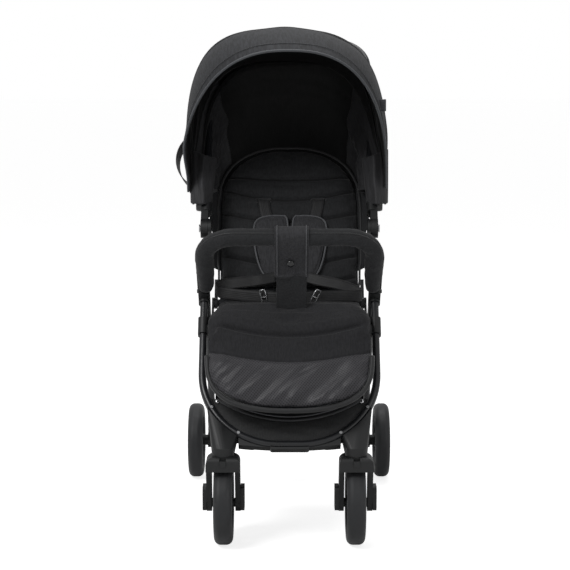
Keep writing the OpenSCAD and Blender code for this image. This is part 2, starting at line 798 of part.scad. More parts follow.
// Steel bar with a flat tongue at each end
module bumper_tube() color(tube_color) {
    bumper_u(bumper_tube_r, 29);
    both_sides() across(side_x - 5.5, side_x + 2.5) strip(bumper_root + 17 * heading(bumper_slope),
        bumper_root + 32 * heading(bumper_slope), 14);
}

// Padded cover around the bar
module bumper_cover() color(fabric_color) difference() {
    bumper_u(cover_d / 2, 33);
    bumper_u(bumper_tube_r + gap / 2, 20);
}

// Crotch strap: a wide loop around the bar that runs down to the seat
module bumper_strap() color(fabric_color) {
    loop_at = bumper_root + bumper_len * heading(bumper_slope);
    loop_r = cover_d / 2 + 4;
    rise = [-1, 13];
    foot = [-204, seat_top + 6];
    translate([strap_x, 0, 0]) across(-33, 33) difference() {
        union() {
            dot(loop_at, loop_r);
            strip(loop_at, loop_at + rise, 2 * loop_r);
            dot(loop_at + rise, loop_r);
            polygon([
                loop_at + loop_r * heading(180), foot, foot + [6, 0], loop_at + (loop_r - 2) * heading(215),
            ]);
        }
        dot(loop_at, cover_d / 2 + gap);
        strip(loop_at, loop_at + rise, cover_d + 2 * gap);
        dot(loop_at + rise, cover_d / 2 + gap);
    }
}

// Release button on the outside of a bumper socket
module bumper_button(s) color(plastic_color) on_side(s)
    bar(button_at, button_r, side_x + 8.8, side_x + 14);

front_tube();
leg_housing(-1);  // leg_housing_left
leg_housing(1);  // leg_housing_right
front_crossbar();
tube_rivets();
hinge_bases();
leg_brackets();
pivot_pins();
seat_frame();
seat_brackets();
seat_pad();
bumper_sockets();
basket();
foot_panel();
harness_buckle();
rear_leg(-1);  // rear_leg_left
rear_leg(1);  // rear_leg_right
rear_cross_tube();
axle_housings();
rear_axle();
brake_pedal();
tyre_rear(-1);  // tyre_rear_left
tyre_rear(1);  // tyre_rear_right
rim_rear(-1);  // rim_rear_left
rim_rear(1);  // rim_rear_right
handle_tube();
handle_grip();
hinge_arms();
fold_release_housing();
fold_button();
hood_hubs();
hood_rear_hoop();
hood_rear_panel();
hood_mid_hoop();
hood_mid_panel();
hood_front_hoop();
hood_visor();
carry_strap();
backrest_frame();
backrest_board();
backrest_pad();
shoulder_straps();
shoulder_pads();
leg_rest_frame();
leg_rest_pad();
bumper_tube();
bumper_cover();
bumper_strap();
bumper_button(-1);  // bumper_button_left
bumper_button(1);  // bumper_button_right
fork(-1);  // fork_left
fork(1);  // fork_right
swivel_lock(-1);  // swivel_lock_left
swivel_lock(1);  // swivel_lock_right
axle_carrier(-1);  // axle_carrier_left
axle_carrier(1);  // axle_carrier_right
tyre_front(-1);  // tyre_front_left
tyre_front(1);  // tyre_front_right
rim_front(-1);  // rim_front_left
rim_front(1);  // rim_front_right
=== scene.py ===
# Baby stroller: cloth, padding, trim and finishes on the fixed folding frame.
# Lengths are millimetres in the making functions, and become metres where a piece is put in place.
from math import asin, copysign, cos, exp, hypot, pi, radians, sin, sqrt

import bmesh
import bpy
from mathutils import Matrix, Vector, noise


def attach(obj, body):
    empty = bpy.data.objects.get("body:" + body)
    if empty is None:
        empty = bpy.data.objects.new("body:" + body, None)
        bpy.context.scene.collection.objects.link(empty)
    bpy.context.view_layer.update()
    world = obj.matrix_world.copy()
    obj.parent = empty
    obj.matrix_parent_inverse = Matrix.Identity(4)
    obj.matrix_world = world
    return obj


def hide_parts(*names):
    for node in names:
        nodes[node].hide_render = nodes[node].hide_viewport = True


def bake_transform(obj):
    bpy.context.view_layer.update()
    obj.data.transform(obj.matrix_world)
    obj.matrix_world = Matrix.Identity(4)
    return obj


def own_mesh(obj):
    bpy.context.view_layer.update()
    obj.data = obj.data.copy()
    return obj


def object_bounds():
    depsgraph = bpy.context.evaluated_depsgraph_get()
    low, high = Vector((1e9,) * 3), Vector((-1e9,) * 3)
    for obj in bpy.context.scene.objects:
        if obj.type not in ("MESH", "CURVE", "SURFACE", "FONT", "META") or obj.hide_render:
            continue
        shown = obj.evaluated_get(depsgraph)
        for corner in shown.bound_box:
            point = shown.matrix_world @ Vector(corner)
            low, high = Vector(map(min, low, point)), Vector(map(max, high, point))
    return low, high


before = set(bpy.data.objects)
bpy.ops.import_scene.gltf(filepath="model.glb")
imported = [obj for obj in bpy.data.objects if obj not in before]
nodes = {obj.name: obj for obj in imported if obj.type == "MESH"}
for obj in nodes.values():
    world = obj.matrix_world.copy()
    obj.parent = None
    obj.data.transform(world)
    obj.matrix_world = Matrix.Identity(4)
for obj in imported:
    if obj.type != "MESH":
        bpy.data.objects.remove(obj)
cad_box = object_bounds()
scene = bpy.context.scene

MM = 0.001
PATH_STEPS = 400
SIDES = {-1: "left", 1: "right"}

# The frame's own sizes: half widths, tube section, and for each sloped part its foot in the side view.
SIDE_X = 173.5
TUBE_W, TUBE_D = 15.0, 24.0
FRONT_FOOT, FRONT_SLOPE, FRONT_BEND = (-302.4, 201.6), 55.0, 152.0
FOLD_HINGE, HANDLE_SLOPE, HANDLE_LEN = (-23.07, 600.53), 49.5, 508.0
HOOD_HUB = (28.24, 660.60)
BACK_PIVOT, BACK_SLOPE = (0.0, 440.0), 59.6
REST_PIVOT, REST_SLOPE = (-236.0, 407.0), 56.8
BUMPER_ROOT, BUMPER_SLOPE, BUMPER_LEN = (-116.56, 467.01), 134.0, 190.0
BUMPER_X, BUMPER_BEND, COVER_R = 168.5, 59.0, 17.0
STRAP_X = 4.0
WORLD = Matrix.Scale(MM, 4)


# ---------- making ----------

def turn(angle, axis):
    """A turn by an angle in degrees about an axis."""
    return Matrix.Rotation(radians(angle), 4, axis)


def slope(point, angle):
    """The place of a sloped plane through a side-view point: x across, y up the slope, z out to the front."""
    return Matrix.Translation((0, point[0] * MM, point[1] * MM)) @ turn(angle, "X") @ WORLD


FRAME_PLANE = slope(FRONT_FOOT, FRONT_SLOPE)
HANDLE_PLANE = slope(FOLD_HINGE, HANDLE_SLOPE)
BACK_PLANE = slope(BACK_PIVOT, BACK_SLOPE)
REST_PLANE = slope(REST_PIVOT, REST_SLOPE)
BUMPER_PLANE = slope(BUMPER_ROOT, BUMPER_SLOPE)


def smooth_at(rows, t):
    """A point at t, from 0 to 1, on the smooth curve through rows of numbers."""
    last = len(rows) - 1
    at = min(max(t, 0.0), 1.0) * last
    i = min(int(at), last - 1)
    f = at - i
    p0, p1, p2, p3 = (rows[min(max(i + k, 0), last)] for k in (-1, 0, 1, 2))
    return tuple(
        0.5 * (2 * b + (c - a) * f + (2 * a - 5 * b + 4 * c - d) * f * f + (3 * b - a - 3 * c + d) * f ** 3)
        for a, b, c, d in zip(p0, p1, p2, p3)
    )


def even_path(rows, count):
    """count points, evenly spaced, on the smooth curve through rows."""
    fine = [Vector(smooth_at(rows, i / PATH_STEPS)) for i in range(PATH_STEPS + 1)]
    run = [0.0]
    for a, b in zip(fine, fine[1:]):
        run.append(run[-1] + (b - a).length)
    out, k = [], 0
    for i in range(count):
        want = run[-1] * i / (count - 1)
        while k < PATH_STEPS - 1 and run[k + 1] < want:
            k += 1
        span = run[k + 1] - run[k] or 1.0
        out.append(fine[k].lerp(fine[k + 1], (want - run[k]) / span))
    return out


def heading(path, i):
    """The way that a path runs at its point i."""
    return path[min(i + 1, len(path) - 1)] - path[max(i - 1, 0)]


def ripple(*at):
    """Smooth noise at a point, from about -1 to 1."""
    return noise.noise(Vector(at))


def bump(distance, width):
    """1 on a line, falling smoothly to 0 a few widths away from it."""
    return exp(-((distance / width) ** 2))


def step(t, low, high):
    """0 below low, 1 above high, smooth between."""
    t = min(max((t - low) / (high - low), 0.0), 1.0)
    return t * t * (3 - 2 * t)


def grid(columns, rows, place, size=(100, 100)):
    """A sheet whose point (u, v) lies at place(u, v), with a UV map in metres of cloth."""
    bm = bmesh.new()
    bmesh.ops.create_grid(bm, x_segments=columns, y_segments=rows, size=0.5)
    uv = bm.loops.layers.uv.new("cloth")
    for face in bm.faces:
        for loop in face.loops:
            co = loop.vert.co
            loop[uv].uv = ((co.x + 0.5) * size[0] * MM, (co.y + 0.5) * size[1] * MM)
    for vert in bm.verts:
        vert.co = place(min(max(vert.co.x + 0.5, 0.0), 1.0), min(max(vert.co.y + 0.5, 0.0), 1.0))
    return bm


def close_ends(bm):
    """Merges the seam of a rolled-up grid and fills its open ends."""
    bmesh.ops.remove_doubles(bm, verts=bm.verts, dist=0.01)
    bmesh.ops.holes_fill(bm, edges=[e for e in bm.edges if e.is_boundary], sides=0)
    return bm


def swept(path, ring, sides, radii):
    """A closed tube, radii(s, a) away from path along the two cross directions ring(i) at its point i."""
    last = len(path) - 1

    def place(u, v):
        i = round(v * last)
        a = 2 * pi * u
        side, up = ring(i)
        across, rise = radii(v, a)
        return path[i] + side * across + up * rise

    return close_ends(grid(sides, last, place))


def round_cord(path, radius, closed=False):
    """A round cord along path."""
    curve = bpy.data.curves.new("path", "CURVE")
    curve.dimensions = "3D"
    curve.bevel_depth = radius
    curve.bevel_resolution = 2
    curve.use_fill_caps = not closed
    spline = curve.splines.new("POLY")
    spline.points.add(len(path) - 1)
    for point, at in zip(spline.points, path):
        point.co = (*at, 1.0)
    spline.use_cyclic_u = closed
    holder = bpy.data.objects.new("path", curve)
    mesh = bpy.data.meshes.new_from_object(holder)
    bm = bmesh.new()
    bm.from_mesh(mesh)
    bpy.data.objects.remove(holder)
    bpy.data.curves.remove(curve)
    bpy.data.meshes.remove(mesh)
    return bm


def ribbon(path, across, width, columns=6):
    """A flat strap along path; across(t) is the direction of its width."""
    last = len(path) - 1

    def place(u, v):
        return path[round(v * last)] + across(v).normalized() * (u - 0.5) * width

    length = sum((b - a).length for a, b in zip(path, path[1:]))
    return grid(columns, last, place, (width, length))


def outline_block(points, low, high, edge):
    """A block with an outline of (x, y) points, from z low to high, its faces' edges rounded by edge."""
    bm = bmesh.new()
    ring = [bm.verts.new((x, y, low)) for x, y in points]
    face = bm.faces.new(ring)
    out = bmesh.ops.extrude_face_region(bm, geom=[face])
    top = [v for v in out["geom"] if isinstance(v, bmesh.types.BMVert)]
    bmesh.ops.translate(bm, vec=(0, 0, high - low), verts=top)
    bmesh.ops.recalc_face_normals(bm, faces=bm.faces)
    rims = [e for e in bm.edges if abs(e.verts[0].co.z - e.verts[1].co.z) < 0.001]
    bmesh.ops.bevel(bm, geom=rims, offset=edge, offset_type="OFFSET", affect="EDGES",
                    segments=3, profile=0.5, material=-1, clamp_overlap=True)
    return bm


def turned(profile, centre, segments):
    """A round part around X: profile is (x, radius) points, centre the place of its middle."""
    bm = bmesh.new()
    verts = [bm.verts.new((x, 0, r)) for x, r in profile]
    edges = [bm.edges.new(pair) for pair in zip(verts, verts[1:])]
    bmesh.ops.spin(bm, geom=verts + edges, cent=(0, 0, 0), axis=(1, 0, 0), angle=2 * pi,
                   steps=segments, use_merge=True, use_duplicate=False)
    bmesh.ops.remove_doubles(bm, verts=bm.verts, dist=0.001)
    bmesh.ops.translate(bm, vec=centre, verts=bm.verts)
    return bm


def put(name, bm, material, body, place=WORLD, thick=0.0, levels=0, away=None, lining=None,
        blends=None, replaces=()):
    """Turns a bmesh in millimetres into a finished piece on a body, facing away from the point away."""
    bmesh.ops.transform(bm, matrix=place, verts=bm.verts)
    bmesh.ops.remove_doubles(bm, verts=bm.verts, dist=1e-5)
    bmesh.ops.recalc_face_normals(bm, faces=bm.faces)
    if away is not None:
        outward = sum(f.normal.dot(f.calc_center_median() - Vector(away) * MM) for f in bm.faces)
        if outward < 0:
            bmesh.ops.reverse_faces(bm, faces=bm.faces)
    mesh = bpy.data.meshes.new(name)
    bm.to_mesh(mesh)
    bm.free()
    mesh.polygons.foreach_set("use_smooth", [True] * len(mesh.polygons))
    obj = bpy.data.objects.new(name, mesh)
    scene.collection.objects.link(obj)
    mesh.materials.append(material)
    if thick:
        solid = obj.modifiers.new("thickness", "SOLIDIFY")
        solid.thickness = thick * MM
        solid.offset = -1
        solid.use_even_offset = False
        if lining:
            mesh.materials.append(lining)
            solid.material_offset = 1
    if levels:
        fine = obj.modifiers.new("smooth", "SUBSURF")
        fine.levels = fine.render_levels = levels
    if blends:
        start, end = (tuple(c * MM for c in point) for point in blends[2:])
        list(blends[:2])
        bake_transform(obj)
        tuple(start)
        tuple(end)
    else:
        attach(obj, body)
    if replaces:
        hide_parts(*replaces)
    return obj


# ---------- finishes ----------

def colour(value):
    """An sRGB hex colour as the linear one that the shader takes."""
    parts = [int(value[i:i + 2], 16) / 255 for i in (1, 3, 5)]
    return tuple(p / 12.92 if p <= 0.04045 else ((p + 0.055) / 1.055) ** 2.4 for p in parts) + (1.0,)


# A wave texture has one wave a metre at this scale, so this over a pitch gives waves of that pitch.
WAVE = 0.314


def join(tree, node, links):
    """Joins outputs to a node's sockets; a node stands for its factor, or else for its first output."""
    for key, source in links.items():
        if isinstance(source, bpy.types.Node):
            source = source.outputs.get("Fac", source.outputs[0])
        tree.links.new(source, node.inputs[key])


def add(tree, kind, settings=None, links=None):
    """Adds a node; settings are its properties (lower case) and sockets, links are joined to its sockets."""
    node = tree.nodes.new("ShaderNode" + kind)
    for key, value in (settings or {}).items():
        if isinstance(key, str) and key[0].islower():
            setattr(node, key, value)
        else:
            node.inputs[key].default_value = value
    join(tree, node, links or {})
    return node


def shaded(name, sockets):
    """A material with one Principled shader: the material, its tree, the shader and its coordinates."""
    mat = bpy.data.materials.new(name)
    mat.use_nodes = True
    tree = mat.node_tree
    tree.nodes.clear()
    shader = add(tree, "BsdfPrincipled", sockets)
    add(tree, "OutputMaterial", links={"Surface": shader})
    return mat, tree, shader, add(tree, "TexCoord")


def vary(tree, shader, dark, light, amount, height, depth):
    """Links a two-tone colour, and a bump of the given depth in metres, to a shader."""
    tone = add(tree, "Mix", {"data_type": "RGBA", 6: colour(dark), 7: colour(light)}, {0: amount})
    relief = add(tree, "Bump", {"Strength": 0.6, "Distance": depth}, {"Height": height})
    join(tree, shader, {"Base Color": tone.outputs[2], "Normal": relief})


def hard_skin(name, dark, light, rough, rough_worn, grain, depth, sockets):
    """A hard dark surface: fine grain as relief, and slow patches where handling has changed the gloss."""
    mat, tree, shader, where = shaded(name, sockets)
    at = where.outputs["Object"]
    fine = add(tree, "TexNoise", {"Scale": 1 / grain, "Detail": 3.0, "Roughness": 0.6}, {"Vector": at})
    patch = add(tree, "TexNoise", {"Scale": 1 / 0.07, "Detail": 4.0, "Roughness": 0.65}, {"Vector": at})
    edges = add(tree, "NewGeometry").outputs["Pointiness"]
    worn = add(tree, "MapRange", {"From Min": 0.52, "From Max": 0.62, "To Min": 0.0, "To Max": 0.35},
               {"Value": edges})
    tone = add(tree, "Math", {"operation": "ADD", "use_clamp": True}, {0: worn, 1: patch})
    gloss = add(tree, "MapRange", {"From Min": 0.35, "From Max": 0.65, "To Min": rough, "To Max": rough_worn},
                {"Value": patch})
    join(tree, shader, {"Roughness": gloss})
    vary(tree, shader, dark, light, tone, fine, depth)
    return mat


def powder_coated_aluminium():
    # Drawn aluminium tube with a baked powder coat: a satin skin whose faint orange peel breaks highlights.
    return hard_skin("powder_coated_aluminium", "#1c1d1f", "#28292c", 0.27, 0.36, 0.003, 0.00008,
                     {"IOR": 1.5, "Coat Weight": 0.2, "Coat Roughness": 0.22})


def moulded_nylon():
    # Injection-moulded glass-filled nylon with a spark-eroded grain: matt, with broad soft highlights. The
    # grain is really 0.3 mm and is drawn at 2 mm, so that it shows.
    return hard_skin("moulded_nylon", "#121314", "#1d1e1f", 0.40, 0.54, 0.002, 0.00012, {"IOR": 1.53})


def polished_abs():
    # ABS from a polished mould: black, smooth, with sharp small reflections.
    return hard_skin("polished_abs", "#141416", "#202123", 0.14, 0.22, 0.02, 0.00002,
                     {"IOR": 1.53, "Coat Weight": 0.4, "Coat Roughness": 0.08})


def moulded_polypropylene():
    # Polypropylene of the rims and the seat shell boards: slightly waxy, a little lighter than the nylon.
    return hard_skin("moulded_polypropylene", "#26272a", "#35373a", 0.38, 0.5, 0.0025, 0.0001, {"IOR": 1.49})


def eva_foam_tyre():
    # Closed-cell EVA foam tyre: dark grey, dull and slightly grainy, paler where the tread is scuffed.
    return hard_skin("eva_foam_tyre", "#212224", "#363739", 0.38, 0.62, 0.0022, 0.00025,
                     {"IOR": 1.45, "Sheen Weight": 0.12, "Sheen Roughness": 0.5})


def foam_grip():
    # Nitrile foam sleeve on the handle: soft black, with open cells that scatter all light.
    return hard_skin("nitrile_foam_grip", "#161617", "#262628", 0.8, 0.92, 0.0016, 0.0004,
                     {"IOR": 1.45, "Sheen Weight": 0.25, "Sheen Roughness": 0.4})


def zinc_plated_steel():
    # Zinc-plated steel, barrel polished: bright and nearly neutral, with fine scratches around its axis.
    mat, tree, shader, where = shaded("zinc_plated_steel", {"Metallic": 1.0})
    scratch = add(tree, "TexNoise", {"Scale": 1 / 0.0015, "Detail": 3.0}, {"Vector": where.outputs["Object"]})
    gloss = add(tree, "MapRange", {"To Min": 0.14, "To Max": 0.34}, {"Value": scratch})
    join(tree, shader, {"Roughness": gloss})
    vary(tree, shader, "#b9babc", "#dcdddf", scratch, scratch, 0.00003)
    return mat


def weave(tree, at, pitch):
    """Height of a plain weave whose threads lie pitch metres apart: warp and weft ridges that cross."""
    thread = {"Scale": WAVE / pitch, "Distortion": 0.6, "Detail": 1.0, "Detail Scale": 2.0}
    warp, weft = (add(tree, "TexWave", {"bands_direction": way, **thread}, {"Vector": at}) for way in "XY")
    return add(tree, "Math", {"operation": "MULTIPLY"}, {0: warp, 1: weft})


def slubs(tree, at, long, short):
    """Flecks of lighter yarn: noise stretched along the threads, long by short metres."""
    lie = add(tree, "Mapping", {"Scale": (1 / short, 1 / long, 1 / short)}, {"Vector": at})
    yarn = add(tree, "TexNoise", {"Scale": 1.0, "Detail": 3.0, "Roughness": 0.7}, {"Vector": lie})
    return add(tree, "MapRange", {"From Min": 0.36, "From Max": 0.64}, {"Value": yarn})


def on_plane(tree, where, point, angle):
    """Object coordinates turned into a sloped plane's own: x across, y up the slope, z out of it."""
    back = Matrix.Rotation(radians(-angle), 3, "X")
    move = -(back @ Vector((0, point[0] * MM, point[1] * MM)))
    return add(tree, "Mapping", {"Rotation": (radians(-angle), 0, 0), "Location": move},
               {"Vector": where.outputs["Object"]})


def cloth(name, dark, light, pitch, long, short, sockets, plane=None, depth=0.0002):
    """A woven cloth with its threads along a plane of the piece, or along its UV map."""
    mat, tree, shader, where = shaded(name, sockets)
    at = on_plane(tree, where, *plane) if plane else where.outputs["UV"]
    threads = weave(tree, at, pitch)
    fleck = slubs(tree, at, long, short)
    shade = add(tree, "TexNoise", {"Scale": 1 / 0.05, "Detail": 2.0}, {"Vector": at})
    mixed = add(tree, "Math", {"operation": "MULTIPLY_ADD", 1: 0.55}, {0: threads, 2: fleck})
    amount = add(tree, "MapRange", {"From Min": 0.35, "From Max": 1.0}, {"Value": mixed})
    total = add(tree, "Math", {"operation": "MULTIPLY_ADD", 1: 0.35, "use_clamp": True},
                {0: shade, 2: amount})
    vary(tree, shader, dark, light, total, mixed, depth)
    return mat


BRUSHED = {"Roughness": 0.82, "IOR": 1.44, "Sheen Weight": 0.14, "Sheen Roughness": 0.45}


def seat_polyester(name, point, angle, dark="#1b1b1d", light="#2a2b2d"):
    # Brushed polyester plain weave of the cushions: near black, dull, with a faint bloom at grazing angles.
    # Its threads are 0.4 mm and are drawn 1.8 mm apart, so that they show.
    return cloth(name, dark, light, 0.0018, 0.012, 0.0025, BRUSHED, (point, angle))


def hood_canvas():
    # Linen-look polyester canvas of the hood: mid grey with lighter slub yarn along the warp.
    return cloth("hood_canvas", "#101113", "#2f3034", 0.0020, 0.030, 0.0045,
                 {"Roughness": 0.8, "IOR": 1.42, "Sheen Weight": 0.08, "Sheen Roughness": 0.4})


def lining_taffeta():
    # Thin black polyester taffeta that lines the hood: very dark, smooth and dull.
    return cloth("lining_taffeta", "#0b0b0c", "#151516", 0.0015, 0.03, 0.003, {"Roughness": 0.7, "IOR": 1.46})


def flap_taffeta():
    # The same taffeta at the hood's inner flaps and corners: its gathers catch more light, so it is paler.
    return cloth("flap_taffeta", "#1a1a1c", "#2c2c2f", 0.0015, 0.03, 0.003,
                 {"Roughness": 0.62, "IOR": 1.46, "Sheen Weight": 0.2})


def basket_oxford():
    # Coated Oxford nylon of the basket and the foot panel: dark, a little shiny, with a square rib.
    return cloth("basket_oxford", "#161617", "#232425", 0.0024, 0.01, 0.003,
                 {"Roughness": 0.6, "IOR": 1.5, "Sheen Weight": 0.1}, depth=0.00035)


def polyester_webbing(name="polyester_webbing", dark="#0b0b0c", light="#1c1c1e"):
    # Flat polyester webbing: ribs across the strap, and a slight lustre along it.
    mat, tree, shader, where = shaded(name, {"Roughness": 0.55, "IOR": 1.5, "Sheen Weight": 0.2})
    at = {"Vector": where.outputs["UV"]}
    ribs = add(tree, "TexWave", {"bands_direction": "Y", "Scale": WAVE / 0.0022, "Distortion": 0.4}, at)
    cords = add(tree, "TexWave", {"bands_direction": "X", "Scale": WAVE / 0.0036, "Distortion": 0.3}, at)
    both = add(tree, "Math", {"operation": "ADD"}, {0: ribs, 1: cords})
    vary(tree, shader, dark, light, both, both, 0.0003)
    return mat


def satin_piping(name, dark, light):
    # Bias tape folded over a cord: smooth and slightly lustrous, so that it draws a thin line along an edge.
    mat, tree, shader, where = shaded(name, {"Roughness": 0.5, "IOR": 1.46, "Sheen Weight": 0.3})
    fleck = add(tree, "TexNoise", {"Scale": 1 / 0.003, "Detail": 2.0}, {"Vector": where.outputs["Object"]})
    vary(tree, shader, dark, light, fleck, fleck, 0.0001)
    return mat


def front_cushion_cloth():
    # The seat's and the leg rest's cloth: the same brushed polyester, and below a curved seam a spacer mesh,
    # whose knitted diamonds 4.2 mm apart are paler and glossier, with dark holes between them.
    mat, tree, shader, where = shaded("front_cushion_cloth", BRUSHED)
    flat = on_plane(tree, where, REST_PIVOT, REST_SLOPE)
    threads = weave(tree, flat, 0.0018)
    fleck = slubs(tree, flat, 0.012, 0.0025)
    plain = add(tree, "Math", {"operation": "MULTIPLY_ADD", 1: 0.4}, {0: threads, 2: fleck})
    lean = [add(tree, "Mapping", {"Rotation": (0, 0, radians(a))}, {"Vector": flat}) for a in (38, -52)]
    bars = [add(tree, "TexWave", {"bands_direction": "X", "Scale": WAVE / 0.0042}, {"Vector": m})
            for m in lean]
    holes = add(tree, "Math", {"operation": "MAXIMUM"}, {0: bars[0], 1: bars[1]})
    x, y = add(tree, "SeparateXYZ", links={0: flat}).outputs[:2]
    bow = add(tree, "Math", {"operation": "MULTIPLY"}, {0: x, 1: x})
    seam = add(tree, "Math", {"operation": "MULTIPLY_ADD", 1: -1.05}, {0: bow, 2: y})
    below = add(tree, "MapRange", {"From Min": -0.0685, "From Max": -0.0695}, {"Value": seam})
    solid = add(tree, "Mix", {"data_type": "RGBA", 6: colour("#1b1b1d"), 7: colour("#2a2a2d")}, {0: plain})
    knit = add(tree, "Mix", {"data_type": "RGBA", 6: colour("#09090a"), 7: colour("#444347")}, {0: holes})
    tone = add(tree, "Mix", {"data_type": "RGBA"}, {0: below, 6: solid.outputs[2], 7: knit.outputs[2]})
    deep = add(tree, "Mix", {"data_type": "FLOAT"}, {0: below, 2: plain, 3: holes})
    relief = add(tree, "Bump", {"Strength": 0.7, "Distance": 0.0004}, {"Height": deep})
    gloss = add(tree, "MapRange", {"To Min": 0.85, "To Max": 0.42}, {"Value": below})
    join(tree, shader, {"Base Color": tone.outputs[2], "Normal": relief, "Roughness": gloss})
    return mat


TUBE = powder_coated_aluminium()
NYLON = moulded_nylon()
GLOSS = polished_abs()
RIM = moulded_polypropylene()
TYRE = eva_foam_tyre()
STEEL = zinc_plated_steel()
GRIP = foam_grip()
CANVAS = hood_canvas()
LINING = lining_taffeta()
FLAP_CLOTH = flap_taffeta()
OXFORD = basket_oxford()
WEBBING = polyester_webbing()
BACK_CLOTH = seat_polyester("backrest_polyester", BACK_PIVOT, BACK_SLOPE)
COVER_CLOTH = seat_polyester("bumper_polyester", (0, 0), 0)
PAD_CLOTH = seat_polyester("harness_polyester", BACK_PIVOT, BACK_SLOPE, "#2a2a2c", "#3e3e41")
STRAP_CLOTH = seat_polyester("strap_polyester", BUMPER_ROOT, 70, "#262628", "#3a3a3d")
FRONT_CLOTH = front_cushion_cloth()
LIGHT_PIPING = satin_piping("light_piping", "#48494d", "#626367")
DARK_PIPING = satin_piping("dark_piping", "#2a2b2d", "#3c3d40")
EDGE_PIPING = satin_piping("edge_piping", "#151516", "#252628")

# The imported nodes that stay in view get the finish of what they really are.
NODE_FINISH = {
    TUBE: "front_tube handle_tube rear_leg_left rear_leg_right rear_cross_tube seat_frame backrest_frame "
          "bumper_tube",
    NYLON: "leg_housing_left leg_housing_right front_crossbar hinge_bases leg_brackets seat_brackets "
           "bumper_sockets axle_housings brake_pedal hinge_arms fold_release_housing hood_hubs fork_left "
           "fork_right axle_carrier_left axle_carrier_right swivel_lock_left swivel_lock_right",
    GLOSS: "harness_buckle fold_button bumper_button_left bumper_button_right",
    RIM: "rim_rear_left rim_rear_right rim_front_left rim_front_right backrest_board leg_rest_frame",
    TYRE: "tyre_rear_left tyre_rear_right tyre_front_left tyre_front_right",
    STEEL: "tube_rivets pivot_pins rear_axle",
    LINING: "hood_rear_hoop",
}
for finish, members in NODE_FINISH.items():
    for member in members.split():
        nodes[member].data.materials.clear()
        nodes[member].data.materials.append(finish)


# ---------- camera, light and floor ----------

camera = bpy.data.objects.new("camera", bpy.data.cameras.new("camera"))
camera.data.lens = 106.1
camera.data.sensor_width = 36.0
camera.location = (-0.009, -3.5125, 0.9198)
camera.rotation_euler = (radians(82.84), 0, 0)
scene.collection.objects.link(camera)
scene.camera = camera
scene.view_settings.view_transform = "Standard"


def softbox(name, place, aim, size, watts):
    """A square studio softbox at place, turned towards aim."""
    lamp = bpy.data.lights.new(name, "AREA")
    lamp.size = size
    lamp.energy = watts
    obj = bpy.data.objects.new(name, lamp)
    obj.location = place
    obj.rotation_euler = (Vector(aim) - Vector(place)).to_track_quat("-Z", "Y").to_euler()
    scene.collection.objects.link(obj)


softbox("key_softbox", (-1.7, -2.0, 2.7), (0, 0, 0.6), 1.3, 42)
softbox("fill_softbox", (2.2, -2.4, 1.5), (0, 0, 0.5), 1.6, 9)
softbox("top_softbox", (0.1, 0.7, 2.9), (0, 0, 0.6), 1.6, 25)


def white_behind(tree, dim, bright):
    """Strength of a plain white: bright to the camera, less so in reflections, dim as a light."""
    path = add(tree, "LightPath")
    mirrored = add(tree, "Math", {"operation": "MULTIPLY", 1: 0.3}, {0: path.outputs["Is Glossy Ray"]})
    seen = add(tree, "Math", {"operation": "MAXIMUM"},
               {0: path.outputs["Is Camera Ray"], 1: path.outputs["Is Transmission Ray"]})
    share = add(tree, "Math", {"operation": "MAXIMUM"}, {0: seen, 1: mirrored})
    return add(tree, "MapRange", {"To Min": dim, "To Max": bright}, {"Value": share})


world = bpy.data.worlds.new("studio")
scene.world = world
world.use_nodes = True
world.node_tree.nodes.clear()
sky = add(world.node_tree, "Background", {"Color": (1, 1, 1, 1)},
          {"Strength": white_behind(world.node_tree, 0.22, 1.0)})
add(world.node_tree, "OutputWorld", links={"Surface": sky})


def studio_floor():
    # Matt white vinyl sweep: nearly white, with a plain glow to the camera that leaves the contact shadows.
    mat, tree, shader, _ = shaded("white_vinyl_sweep", {
        "Base Color": (0.86, 0.86, 0.86, 1), "Roughness": 0.95, "Emission Color": (1, 1, 1, 1)})
    path = add(tree, "LightPath")
    glow = add(tree, "MapRange", {"To Min": 0.0, "To Max": 0.78}, {"Value": path.outputs["Is Camera Ray"]})
    join(tree, shader, {"Emission Strength": glow})
    return mat


floor_bm = bmesh.new()
bmesh.ops.create_grid(floor_bm, x_segments=2, y_segments=2, size=60)
floor_mesh = bpy.data.meshes.new("floor")
floor_bm.to_mesh(floor_mesh)
floor_bm.free()
floor_mesh.materials.append(studio_floor())
floor = bpy.data.objects.new("floor", floor_mesh)
floor.location = (0, 0, min(cad_box[0][2], 0.0))
scene.collection.objects.link(floor)


# ---------- hood ----------

HOOD_COLUMNS = 96
ARCH_STEPS = 180
# The hub angles of each panel's rear and front edge.
VISOR_REAR, VISOR_RIM = 90.0, 122.0
MIDDLE_REAR, MIDDLE_FRONT = 75.0, 92.5
REAR_REAR, REAR_FRONT = 54.5, 77.0
HEM_SWING = 1.5


def round_hub(x, angle, radius):
    """The point at x whose side view lies radius from the hood's hub, at a hub angle in degrees."""
    a = radians(angle)
    return Vector((x, HOOD_HUB[0] + radius * cos(a), HOOD_HUB[1] + radius * sin(a)))


def arch_line(numbers, count, start):
    """Even (x, radius) points on one arch of the hood, from the left hub over the top to the right hub.

    numbers are its half width, radius and squareness, its centre's x over its height, and half its width at
    the hub; start is the radius at which it begins.
    """
    width, radius, square, centre, root = numbers
    a0 = asin((start / radius) ** (square / 2))
    rows = []
    for i in range(ARCH_STEPS + 1):
        a = a0 + (pi - 2 * a0) * i / ARCH_STEPS
        rho = radius * sin(a) ** (2 / square)
        near = step(rho, 40, 150)
        half = (root + (width - root) * near) * abs(cos(a)) ** (2 / square)
        shift = -5 + (centre(rho / radius) + 5) * near
        rows.append((shift - copysign(half, cos(a)), rho, 0))
    return even_path(rows, count)


